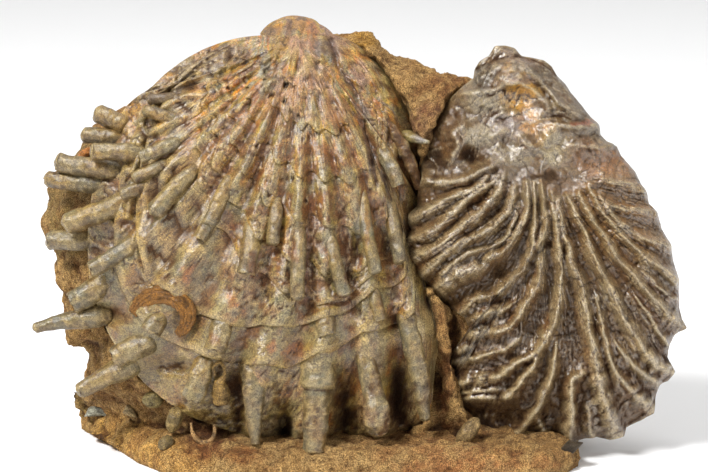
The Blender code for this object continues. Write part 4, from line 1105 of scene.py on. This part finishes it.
def oysterRibs(u, v):
    # each crest is a ridge h exp(-(d / w)^p) along its line, joined as a root of a sum of cubes, and
    # between two crests the shell sinks by a share of their spacing times sin^2 of the way across
    broad = np.stack([lumps(spot(u, v, seed), 5, seed) for seed in (5, 9)], -1)
    fine = np.stack([lumps(spot(u, v, seed), 2.2, seed) for seed in (3, 7)], -1)
    warped = np.stack([u, v], -1) + 0.45 * broad + 0.28 * fine
    total = np.zeros(u.shape)
    crown = np.zeros(u.shape)
    near, second = np.full(u.shape, 99.0), np.full(u.shape, 99.0)
    for width, height, sharp, line in oysterCrests:
        gap, where = lineDistance(warped, curved(line, 4 * len(line)))
        wide = width * (0.72 + 0.3 * where + 0.16 * np.sin(where * 23 + width * 40))
        taper = 0.4 + 0.6 * smooth(0.0, 0.15, where)
        ridge = (1 - sharp) * np.exp(-((gap / wide) ** 2.6)) + sharp * np.exp(-((gap / wide) ** 1.3))
        total += (height * (1 + 0.12 * np.sin(where * 17 + width * 60)) * taper * ridge) ** 3
        crown = np.maximum(crown, taper * np.exp(-((gap / wide / 0.85) ** 3)))
        second = np.minimum(second, np.maximum(near, gap))
        near = np.minimum(near, gap)
    across = near / (near + second + 0.1)
    valley = np.clip(near + second, 0, 9) * smooth(11, 6, near) * np.sin(np.pi * across) ** 1.6
    rise = np.cbrt(total)
    for centre, radii, height in oysterSwells:
        rise = rise + height * bump(u, v, centre, radii)
    return rise - oyster["valley"] * valley, crown


def oysterMesh():
    # rings of the outline from its centre to the margin, raised by the cap, the ribs and the grain
    turn = np.linspace(0, 360, oyster["around"], endpoint=False)[None, :]
    share = np.linspace(0.01, 1, oyster["along"])[:, None] ** 0.9
    turn, share = np.broadcast_arrays(turn, share)
    radius = share * oysterReach(turn)
    u = oyster["centre"][0] + radius * np.cos(np.radians(turn))
    v = oyster["centre"][1] + radius * np.sin(np.radians(turn))
    flat = spot(u, v)
    bossU, bossV = oyster["boss"]
    boss = np.hypot(u - bossU, v - bossV)
    # growth steps run across the ribs, round the boss
    steps = 0.34 * ((boss / 2.7 + 1.2 * lumps(flat, 7, 2, 2)) % 1.0) * smooth(6, 16, boss)
    grain = 0.22 * lumps(flat, 3.2, 1, 2) + 0.3 * lumps(flat, 14, 6)
    streak = spot(np.degrees(np.arctan2(u - bossU, bossV - v)) * 0.35, boss * 0.12)
    # sharp-edged wrinkles |noise| drawn out along the ribs
    across, along = 0.66 * u + 0.75 * v, 0.75 * u - 0.66 * v
    upper = smooth(70, 78, v)
    wrinkles = np.abs(lumps(streak, 0.7, 8, 3, 0.6)) * smooth(3, 14, boss) * (1 - upper)
    bands = spot(across * 0.45, along * 0.08)
    wrinkles = wrinkles + 0.8 * upper * np.abs(lumps(bands, 1.0, 5, 2, 0.5))
    level, border = plates(flat, 5.2, 9)
    grain = grain + 0.75 * wrinkles + 0.22 * level - 0.3 * smooth(0.1, 0.0, border) * smooth(80, 70, v)
    grain = grain + 0.14 * lumps(flat, 1.3, 4, 2)
    blisters = 0.9 * lumps(flat, 6, 14, 2) + 0.5 * np.abs(lumps(flat, 3.4, 10, 2)) - 0.3
    grain = grain + smooth(70, 80, v) * blisters
    edge = smooth(0.965, 1.0, share)
    base = oysterHeight(u, v)
    ribs, crown = oysterRibs(u, v)
    front = spot(u, v, base + ribs + steps + grain - edge)
    back = spot(u, v, base - oyster["wall"] + 0.7 * ribs * share**3 + edge)[::-6]
    centre = oyster["centre"]
    ends = (*centre, front[0, :, 2].mean()), (*centre, back[-1, :, 2].mean())
    mesh = meshOf("oyster", [skin(np.concatenate([front, back]), *ends)])
    rest = len(mesh.vertices) - crown.size
    crown, height = (np.concatenate([values.ravel(), np.zeros(rest)]) for values in (crown, ribs))
    turned = np.maximum(upper, smooth(12, 3, boss))[..., None]
    flow = streak * (3, 8, 1) * (1 - turned) + bands * (2, 2, 1) * turned
    flow = np.concatenate([flow.reshape(-1, 3), np.zeros((rest, 3))])
    return mesh, crown, height, flow


# stained patches of the oyster, and patches of painted shade in its hollows: centre, radii, colour before the
# lift
oysterStainsAndShade = (
    ((41.6, 94.0), (4.2, 3.6), (250, 188, 52)), ((45.6, 87.8), (3.4, 4.2), (236, 178, 98)),
    ((47.4, 83.6), (2.0, 2.0), (204, 172, 110)), ((40.6, 88.4), (1.8, 1.2), (176, 150, 150)),
    ((37.4, 87), (2.8, 1.4), (150, 140, 158)), ((38.6, 83.4), (2.4, 1.6), (156, 142, 146)),
    ((38.6, 101.6), (0.9, 2.0), (180, 138, 66)), ((39.6, 104.4), (3.0, 1.6), (164, 134, 116)),
    ((32.4, 99.6), (2.0, 3), (92, 86, 80)), ((40.5, 97.4), (5, 0.8), (162, 138, 134)),
    ((57, 87.2), (3, 0.7), (172, 96, 54)), ((25, 12.6), (2.2, 1.6), (200, 148, 66)),
    ((24.6, 18), (2.6, 1), (184, 144, 118)), ((31, 92.2), (3.8, 2.4), (158, 150, 130)),
    ((32, 84.2), (4.2, 2.0), (182, 176, 160)), ((39, 78.6), (4.8, 2.6), (160, 150, 130)),
    # painted shade: the dark patches at (29.6, 78.8), (19.6, 78) and (47.6, 74) lie in hollows of the hinge
    # end and the boss
    ((50.4, 80.6), (3.0, 3.4), (180, 172, 150)), ((29.6, 78.8), (3.0, 1.8), (66, 48, 36)),
    ((19.6, 78), (2.6, 3), (70, 52, 38)), ((33, 10.6), (2, 3), (54, 38, 24)),
    ((47.6, 74), (3, 1.2), (64, 48, 32)), ((64.5, 77), (5, 3.4), (184, 128, 66)),
    ((59, 92), (2.4, 3), (112, 94, 70)), ((58, 79), (2.4, 4), (150, 108, 62)),
    ((50, 97), (4, 3), (126, 108, 80)), ((47, 100), (3, 1.4), (112, 98, 74)),
    ((24, 88), (3.4, 4), (122, 96, 72)),
)


def oysterTint(mesh, crown, height, flow):
    points = facePoints(mesh)
    u, v = points[:, 0], points[:, 1]
    finely, standing, broadly = relief(mesh, 3), relief(mesh, 8), relief(mesh, 40)
    broad, small, tiny = lumps(points, 12, 2, 3), lumps(points, 3, 5, 3), lumps(points, 1.4, 2, 2)
    streak = lumps(flow / (3, 8, 1), 1.1, 3, 3)
    level, border = plates(points * (1, 1, 0), 5.2, 9)
    hinge = smooth(72, 78, v)
    flank = smooth(50, 60, u) * smooth(48, 62, v) * smooth(88, 78, v)
    # grey-brown ground, rusty and silvery streaks, brown valleys, painted shade in the hollows, paler rib
    # tops with painted highlight on the crests, and the hinge end
    tint = layered(
        np.zeros((len(points), 3)) + (162, 137, 104),
        (0.8 * smooth(-0.1, 0.7, small + 0.4 * broad), (160, 142, 112)),
        (0.7 * smooth(0.1, 0.7, -streak), (126, 86, 48)),
        (0.6 * smooth(0.1, 0.7, streak), (166, 150, 124)),
        (0.5 * smooth(0.2, 0.9, level), (158, 150, 132)),
        (0.9 * flank * smooth(-0.7, 0.2, small), (176, 136, 80)),
        (smooth(0.2, -1.8, height) * (1 - hinge) * (1 - 0.5 * flank) * 0.85, (122, 97, 71)),
        (0.6 * smooth(0.2, 1.7, height) * (1 - 0.6 * hinge), (176, 156, 126)),
        (0.6 * smooth(0.05, 0.5, -standing), (90, 66, 44)),
        (0.6 * smooth(0.6, 1.0, crown) * smooth(-0.6, 0.4, small + tiny), (196, 182, 158)),
        (0.7 * smooth(0.05, 0.4, standing) * smooth(-0.7, 0.3, small), (208, 196, 174)),
        (0.6 * hinge * smooth(0.1, 0.7, tiny + small), (166, 146, 116)),
        (0.6 * hinge * smooth(0.1, 0.7, lumps(points, 3.4, 31, 2)), (122, 92, 62)),
    )
    # then the stains, the plates' borders, painted highlight on the finest crests and painted shade in the
    # creases
    raised = np.maximum(hinge, smooth(-0.6, 0.9, height))
    tint = layered(
        stained(tint, points, oysterStainsAndShade, small, oyster["stainLift"]),
        (0.5 * smooth(0.08, 0.0, border) * smooth(0.2, -0.4, small) * (1 - 0.7 * hinge), (76, 50, 30)),
        (0.6 * smooth(0.01, 0.10, finely) * raised, (232, 220, 198)),
        (0.9 * smooth(0.01, 0.16, -finely), (80, 53, 30)),
    )
    # painted shade, dark brown in the broad hollows
    return tinted(tint * (1 - 0.1 * hinge[:, None]), 0.9 * smooth(0.4, 2.0, -broadly), (62, 42, 26))


oysterShape, oysterCrown, oysterRise, oysterFlow = oysterMesh()
addFlow(oysterShape, oysterFlow)
addTint(oysterShape, oysterTint(oysterShape, oysterCrown, oysterRise, oysterFlow))
oysterShell = stoneMaterial("oysterShell", finishes["oysterShell"])
addPiece("ribbedOyster", oysterShape, oysterShell, "ribbed_oyster_shell")

# the rock: a block behind the shells and a sawn foot under them
rock = {
    "centre": (-5.0, 52.0),
    "frontHeight": 15.0,
    "frontDrop": 14.0,
    "cornerDrop": 24.0,
    "backDepth": 30.4,
    "backDrop": 27.0,
    "slot": ((20.6, 23.0), (2.5, 9), 9.0),  # centre, radii and depth of the gap between the shells
    "seat": 0.7,
    "edge": 4.0,
    "footRim": 1.6,
    "footCentre": (0.0, 6.0),
    "outline": (
        (-67, 8), (-70.5, 11.5), (-72.5, 14.5), (-73.5, 17), (-73, 18.5), (-71.5, 21), (-69, 23.5),
        (-67.8, 26.5), (-67.7, 30), (-69, 31.5), (-72, 31.2), (-73.7, 33), (-74.3, 44), (-75.7, 46.5),
        (-76, 50), (-75.5, 54), (-76.5, 57), (-78, 60), (-79, 64.5), (-78, 67), (-76.8, 71.5),
        (-75.4, 75), (-72.4, 78), (-69.6, 80.6), (-68, 84), (-66.4, 87.8), (-60, 91), (-56.5, 92),
        (-55, 94), (-50, 96.5), (-45, 99.5), (-40.5, 100.5), (-38, 104), (-35, 106.5), (-33, 105.5),
        (-30, 107.5), (-24, 109), (-14, 110), (-4, 110), (1, 111.2), (4, 110.3), (5, 108.5),
        (9.5, 104.5), (13, 103.5), (16, 103.3), (18, 102), (22, 100), (24, 100.7), (27, 98.8),
        (30, 98.5), (45, 97), (56, 88), (64, 74), (67, 56), (65, 36), (60, 20), (56, 8), (40, 5),
        (20, 4.5), (0, 4.5), (-20, 4.5), (-40, 4.5), (-56, 5.5),
    ),
    "footOutline": (
        (-71, 22), (-66, 13), (-60, 2.6), (-54, -9.5), (-47, -18.5), (-38, -22.5), (-29, -24),
        (-20, -23.3), (-10, -24.9), (0, -24.2), (11, -24.9), (20, -23.8), (31, -24), (40, -22),
        (47, -22.5), (52, -19), (56, -12), (55.5, 0), (58, 14), (55, 27), (42, 35), (26, 35), (12, 38),
        (-4, 36.5), (-20, 38.5), (-36, 36), (-50, 37), (-64, 33),
    ),
    # height over the ground, and how far the foot's outline is drawn in there
    "footLevels": ((0, 0), (0.8, -0.25), (1.6, -0.3), (2.8, 0), (4.0, 0.5), (5.0, 1.4), (5.8, 2.6), (7, 7)),
    "frontRings": 90,
    "backRings": 50,
    "voxel": 0.78,
}


def around(outline, count):
    # the outline walked round at even steps
    p = np.array(outline + outline[:1], float)
    length = np.concatenate([[0], np.cumsum(np.linalg.norm(np.diff(p, axis=0), axis=1))])
    where = np.linspace(0, length[-1], count, endpoint=False)
    return np.stack([np.interp(where, length, p[:, 0]), np.interp(where, length, p[:, 1])], -1)


def rockBlock():
    # a lumpy cushion inside its outline, deep at the back, that dips under each shell as its seat
    rim = around(rock["outline"], 480)
    centre = np.array(rock["centre"])
    front, back = np.linspace(0.02, 1, rock["frontRings"]) ** 0.8, np.linspace(0.985, 0.02, rock["backRings"])
    share = np.concatenate([front, back])[:, None]
    back = np.arange(len(share))[:, None] >= rock["frontRings"]
    u = centre[0] + (rim[:, 0] - centre[0]) * share
    v = centre[1] + (rim[:, 1] - centre[1]) * share
    flat = spot(u, v, np.where(back, 40.0, 0.0))
    corner = smooth(-38, -70, u) * smooth(32, 10, v)
    wander = 2.2 * lumps(flat, 9, 1) + 0.9 * lumps(flat, 4, 2)
    front = rock["frontHeight"] - rock["frontDrop"] * share**8 - rock["cornerDrop"] * corner
    slotCentre, slotRadii, slotDepth = rock["slot"]
    front = front - slotDepth * bump(u, v, slotCentre, slotRadii) + wander
    inClam, inOyster = clamPlace(u, v)[1], oysterInside(u, v)
    seatClam = clamFloor(u, v) - clam["wall"] - rock["seat"] + 30 * smooth(0.99, 1.04, inClam)
    seatOyster = oysterHeight(u, v) - oyster["wall"] - rock["seat"] + 30 * smooth(0.985, 1.05, inOyster)
    front = np.minimum(front, np.minimum(seatClam, seatOyster))
    floor = (rock["footRim"] - face["lift"] - v * cosLean) / sinLean
    deep = -rock["backDepth"] + rock["backDrop"] * share**4 + 3 * lumps(flat, 14, 5) + lumps(flat, 5, 8)
    deep = deep - 0.5 * rock["cornerDrop"] * corner * share
    w = np.where(back, np.maximum(deep, floor), np.maximum(front, floor + rock["edge"]))
    return skin(spot(u, v, w), (*centre, w[0].mean()), (*centre, w[-1].mean()))


def rockFoot():
    # rings of the sawn outline at several heights, drawn in towards the top
    rim = around(rock["footOutline"], 420)
    centre = np.array(rock["footCentre"])
    rings = []
    for height, inset in rock["footLevels"]:
        reach = 1 - inset / np.linalg.norm(rim - centre, axis=1, keepdims=True)
        u, depth = (centre + (rim - centre) * reach).T
        rings.append(spot(u - face["middle"], depth - face["depth"], height))
    rings = np.array(rings) * 0.001
    first = np.array([centre[0] - face["middle"], centre[1] - face["depth"], 0.0]) * 0.001
    last = first + np.array([0, 0, rock["footLevels"][-1][0] * 0.001])
    return skin(layBack(rings), layBack(first), layBack(last))


def rockMesh():
    # both in one skin, its free faces crumbled by noise along their normals, its sawn base kept flat
    mesh = remeshed(meshOf("rock", [rockBlock(), rockFoot()]), rock["voxel"])
    points = facePoints(mesh)
    normals = faceNormals(mesh)
    crumble = 0.9 * lumps(points, 4.4, 3, 4, 0.6) - (0.5 * np.abs(lumps(points, 3.0, 8, 2)) - 0.2)
    height = stand(points)[:, 2] * 1000
    points = points + normals * (crumble * smooth(0.3, 1.6, height))[:, None]
    placed = stand(points)
    placed[:, 2] = np.where(height < 0.5, 0.0, np.maximum(placed[:, 2], 0.0))
    moveTo(mesh, layBack(placed))
    return mesh


# stained parts of the rock: centre, radii, colour
rockStains = (
    ((-62, 8), (12, 5), (228, 190, 120)), ((-48, 4), (12, 4), (220, 180, 116)),
    ((-36.8, 11), (4.6, 4.4), (80, 46, 28)), ((-30, 6), (8, 2), (132, 86, 52)),
    ((18, 88), (3, 4.6), (120, 84, 78)), ((24, 97), (4, 3), (128, 90, 60)),
    ((23, 22), (1.6, 8), (168, 116, 84)), ((11, 8), (10, 3), (180, 142, 102)),
    ((30, 3), (16, 3), (186, 134, 96)), ((-72.5, 17), (3, 4.6), (140, 126, 84)),
    ((-74, 62), (6, 8), (136, 124, 86)), ((-70, 74), (8, 9), (132, 114, 80)),
    ((-36, 104), (5, 3), (128, 98, 84)), ((-28, 107), (6, 2), (146, 108, 72)),
    ((-50, 95), (7, 3), (112, 82, 60)), ((-71, 40), (4, 8), (128, 98, 56)),
    ((2, 109), (3, 3), (178, 140, 66)), ((25, 34), (3, 5), (140, 100, 66)),
    ((-62, 22), (8, 3), (138, 110, 70)), ((-67, 30), (5, 7), (172, 146, 102)),
)


def rockTint(mesh):
    points = facePoints(mesh)
    u, v, w = points.T
    standing, broadly = relief(mesh, 6), relief(mesh, 50)
    broad, small = lumps(points, 14, 2, 3), lumps(points, 3.2, 5, 3)
    level, _ = plates(spot(u + 0.6 * w, v + 0.6 * w), 3.0, 5)
    # sandy tan, paler and browner by lumps, with stains, painted highlight on the crests and painted shade in
    # the hollows
    tint = layered(
        np.zeros((len(points), 3)) + (180, 152, 114),
        (smooth(0, 0.7, broad), (188, 158, 116)),
        (0.7 * smooth(0.1, 0.8, -broad), (152, 122, 84)),
        (0.7 * smooth(0.1, 0.8, small), (200, 172, 128)),
        (0.7 * smooth(0.1, 0.8, -small), (144, 112, 76)),
    )
    tint = layered(
        stained(tint, points, rockStains, small),
        (0.5 * smooth(0.3, 0.9, level), (176, 156, 124)),
        (0.4 * smooth(0.3, 0.9, -level), (126, 86, 58)),
        (0.6 * smooth(0.0, 0.35, standing), (200, 168, 122)),
        (0.7 * smooth(0.0, 0.35, -standing), (104, 72, 44)),
    )
    # painted shade, dark brown in the broad hollows
    return tinted(1.06 * tint, 0.9 * smooth(0.3, 1.8, -broadly), (70, 47, 30))


rockShape = rockMesh()
addFlow(rockShape, facePoints(rockShape))
addTint(rockShape, rockTint(rockShape))
addPiece("rockBlock", rockShape, stoneMaterial("sandyRock", finishes["sandyRock"]), "rock_matrix")

# the small loose pieces, each with its colour last: here a path of face points with its widths, and the
# number of strands side by side
threads = {
    "encrusting_oyster": (
        ((-54.5, 40, 19.5), (-51.5, 43.4, 22.5), (-46.5, 44.6, 24.8), (-42.4, 43, 26), (-40.6, 40, 25.6),
         (-41.3, 36.8, 24.6), (-43.4, 34.8, 23.2)),
        (2.4, 3.6, 4.2, 4.0, 3.6, 3.0, 1.8), 4, (156, 112, 48),
    ),
    "worm_tube": (
        ((-32.8, 18.2, 19), (-32.8, 20.6, 20.4), (-33, 22.8, 21.4), (-31.9, 24.4, 22.4), (-31.8, 26.4, 23.2),
         (-33, 28, 23.4), (-34.4, 26.6, 23.2), (-34.2, 24.6, 22.6)),
        (3.8, 4.2, 2.8, 1.0, 0.9, 0.9, 0.9, 0.9), 1, (160, 134, 84),
    ),
    "ring_shell": (
        ((-40.3, 12.8, 18), (-40, 10.6, 18), (-38.8, 8.7, 18), (-37, 7.9, 18), (-35.2, 8.7, 18),
         (-34.4, 10.6, 18), (-34.6, 12.4, 18)),
        (0.6, 1.0, 1.2, 1.3, 1.2, 1.0, 0.6), 1, (196, 162, 122),
    ),
}
# an outline on the face between two heights
flakes = {
    "blue_fragment": (
        ((-69.6, 12.4), (-68.6, 14.6), (-66, 16.2), (-63.4, 15.9), (-61.7, 14), (-61.2, 11.2), (-64.5, 12.6)),
        -17.0, -10.6, (184, 194, 202),
    ),
    "dark_fragment": (
        ((44.6, 2.6), (50, 3.4), (54.5, 5.2), (57, 7.8), (53.4, 8.4), (50.6, 6)), 14.0, 17.5, (92, 84, 78),
    ),
    "pale_chip": (
        ((-58.6, 14.2), (-57.6, 16.4), (-55.6, 15.6), (-54.6, 13), (-56.6, 13.2)), -1.5, 2.5, (206, 190, 160),
    ),
    "grey_flake": (((34, 0.6), (34.6, 3.4), (38, 3.6), (39.6, 1.2)), 20.5, 23.2, (170, 156, 132)),
}
# a centre, three half sizes and a turn in degrees
pebbles = {
    "green_pebble": ((-50.2, 18, 9.5), (2.7, 2.3, 2.6), 0, (168, 158, 118)),
    "upper_stub": ((-44.6, 13.4, 14.5), (3.4, 2.1, 2.6), 75, (172, 154, 110)),
    "lower_stub": ((-46.6, 7.6, 15.5), (2.2, 1.9, 2.4), 40, (166, 150, 112)),
    "orange_bit": ((-67.4, 79.8, 5.5), (2.2, 1.3, 2.2), 28, (206, 140, 72)),
    "rib_fragment": ((28.4, 10.4, 15.5), (4.4, 2.2, 2.8), 52, (164, 144, 110)),
}


# a flake's rings: share of its thickness, share of its width
flakeProfile = (
    (0, 0.4), (0, 0.84), (0.2, 0.97), (0.5, 1), (0.8, 0.93), (0.94, 0.8), (1.02, 0.5), (1.06, 0.2),
)


def threadMesh(name, path, widths, strands):
    # tubes side by side on the face, each as wide as its share of the band
    spread = np.linspace(0, 1, 60)
    line = curved(path, 60)
    wide = np.interp(spread, np.linspace(0, 1, len(widths)), widths) * (1 + 0.05 * np.sin(spread * 70))
    along = np.gradient(line, axis=0)
    side = np.stack([along[:, 1], -along[:, 0], 0 * along[:, 0]], -1)
    side /= np.linalg.norm(side, axis=1, keepdims=True)
    skins = []
    for number in range(strands):
        middle = line + side * (wide * ((number + 0.5) / strands - 0.5))[:, None]
        rings = tubeRings(middle, wide * (1.0 if strands == 1 else 1.5 / strands), 24, 3 + number, 0.08)
        caps = [middle[i] + (rings[i] - middle[i]) * 0.6 for i in (0, -1)]
        rings = np.concatenate([[caps[0]], rings, [caps[1]]])
        skins.append(skin(rings, 2 * middle[0] - middle[1], middle[-1]))
    return meshOf(name, skins)


def flakeMesh(name, outline, low, high):
    # rings of the outline drawn in near both faces, with a slightly domed front
    rim = around(outline, 72)
    middle = rim.mean(0)
    rings = []
    for share, spread in flakeProfile:
        u, v = (middle + (rim - middle) * spread).T
        ring = spot(u, v, low + (high - low) * share)
        ring[:, 2] += 0.25 * lumps(ring, 1.6, 4, 2)
        rings.append(ring)
    return meshOf(name, [skin(np.array(rings), (*middle, low), (*middle, high + 0.3))])


def pebbleMesh(name, centre, sizes, turn):
    # an ellipsoid r = 1 + noise, turned on the face
    north = np.linspace(0, np.pi, 26)[1:-1, None]
    east = np.linspace(0, 2 * np.pi, 40, endpoint=False)
    ball = spot(np.cos(north), np.sin(north) * np.cos(east), np.sin(north) * np.sin(east))
    ball = ball * (0.96 + 0.10 * lumps(ball * 4, 2.4, 6, 3))[..., None]
    x, y, z = np.moveaxis(ball * np.array(sizes), -1, 0)
    c, s = math.cos(math.radians(turn)), math.sin(math.radians(turn))
    rings = spot(x * c - y * s, x * s + y * c, z) + np.array(centre)
    ends = [np.array(centre) + np.array([c, s, 0]) * sizes[0] * 0.96 * k for k in (1, -1)]
    return meshOf(name, [skin(rings, ends[0], ends[1])])


def bitTint(mesh, colour):
    # one colour, paler and darker by lumps, with painted shade in its creases
    small = lumps(facePoints(mesh), 1.6, 5, 3)
    colour = np.array(colour)
    return layered(
        np.zeros((len(small), 3)) + colour,
        (0.6 * smooth(0.1, 0.8, small), np.minimum(colour * 1.2, 255)),
        (0.7 * smooth(0.1, 0.8, -small), colour * 0.6),
        (0.8 * smooth(0.0, 0.12, -relief(mesh, 3)), colour * 0.45),
    )


bitKinds = (
    (threadMesh, threads, "looseBit"),
    (flakeMesh, flakes, "flake"),
    (pebbleMesh, pebbles, "looseBit"),
)
for make, table, finish in bitKinds:
    for nodeName, (*shape, colour) in table.items():
        words = nodeName.split("_")
        pieceName = words[0] + words[1].capitalize()
        mesh = make(pieceName, *shape)
        addFlow(mesh, facePoints(mesh))
        addTint(mesh, bitTint(mesh, colour))
        addPiece(pieceName, mesh, stoneMaterial(pieceName, finishes[finish]), nodeName)

# the camera looks square at the face; lamps have a name, a place, a size and a power
studio = {
    "aim": (0.0, 59.0, 10.0),
    "distance": 737.5,
    "lens": 150.0,
    "lamps": (
        ("key", (-0.55, -0.55, 0.95), 0.3, 20),
        ("fill", (0.9, -0.7, 0.35), 0.5, 3.5),
        ("top", (0.2, 0.1, 1.3), 0.6, 7),
    ),
    "lampAim": (0, 0, 0.05),
    "sky": 0.40,
    "floorTone": 0.9,
}


def aimed(thing, place, aim):
    # stands at one point and looks at the other
    place, aim = Vector(place), Vector(aim)
    turn = (aim - place).to_track_quat("-Z", "Y")
    thing.matrix_world = Matrix.Translation(place) @ turn.to_matrix().to_4x4()


def addCamera():
    camera = linked("camera", bpy.data.cameras.new("camera"))
    u, v, w = studio["aim"]
    aimed(camera, stand(np.array([u, v, w + studio["distance"]])), stand(np.array([u, v, w])))
    camera.data.lens = studio["lens"]
    camera.data.sensor_width = 36.0
    camera.data.clip_end = 20.0
    bpy.context.scene.camera = camera


def addLamp(name, place, size, power):
    lamp = bpy.data.lights.new(name, "AREA")
    lamp.shape = "SQUARE"
    lamp.size = size
    lamp.energy = power
    aimed(linked(name, lamp), place, studio["lampAim"])


def addFloor():
    # a sweep: flat under the cluster, then curved up into an upright backdrop
    t = np.linspace(0, 1, 40)
    y = np.concatenate([[-3.0], 1.2 + 0.8 * np.sin(t * np.pi / 2), [2.0]])
    z = np.concatenate([[0.0], 0.8 - 0.8 * np.cos(t * np.pi / 2), [4.0]])
    points = spot(np.array([-3.0, 3.0]), y[:, None], z[:, None])
    k = np.arange(len(y) - 1) * 2
    faces = np.stack([k, k + 1, k + 3, k + 2], -1)
    mesh = bpy.data.meshes.new("floor")
    mesh.from_pydata(points.reshape(-1, 3).tolist(), [], faces.tolist())
    smoothed(mesh)
    material, _, shader = newMaterial("paleFloor")
    tone = studio["floorTone"]
    shader.inputs["Base Color"].default_value = (tone, tone, tone, 1)
    shader.inputs["Roughness"].default_value = 0.8
    mesh.materials.append(material)
    linked("floor", mesh)


addCamera()
addFloor()
for lamp in studio["lamps"]:
    addLamp(*lamp)
world = bpy.data.worlds.new("studio")
world.use_nodes = True
background = world.node_tree.nodes["Background"]
background.inputs["Color"].default_value = (1, 1, 1, 1)
background.inputs["Strength"].default_value = studio["sky"]
bpy.context.scene.world = world
bpy.context.scene.view_settings.view_transform = "Standard"
print("studio: camera, lamps and floor")
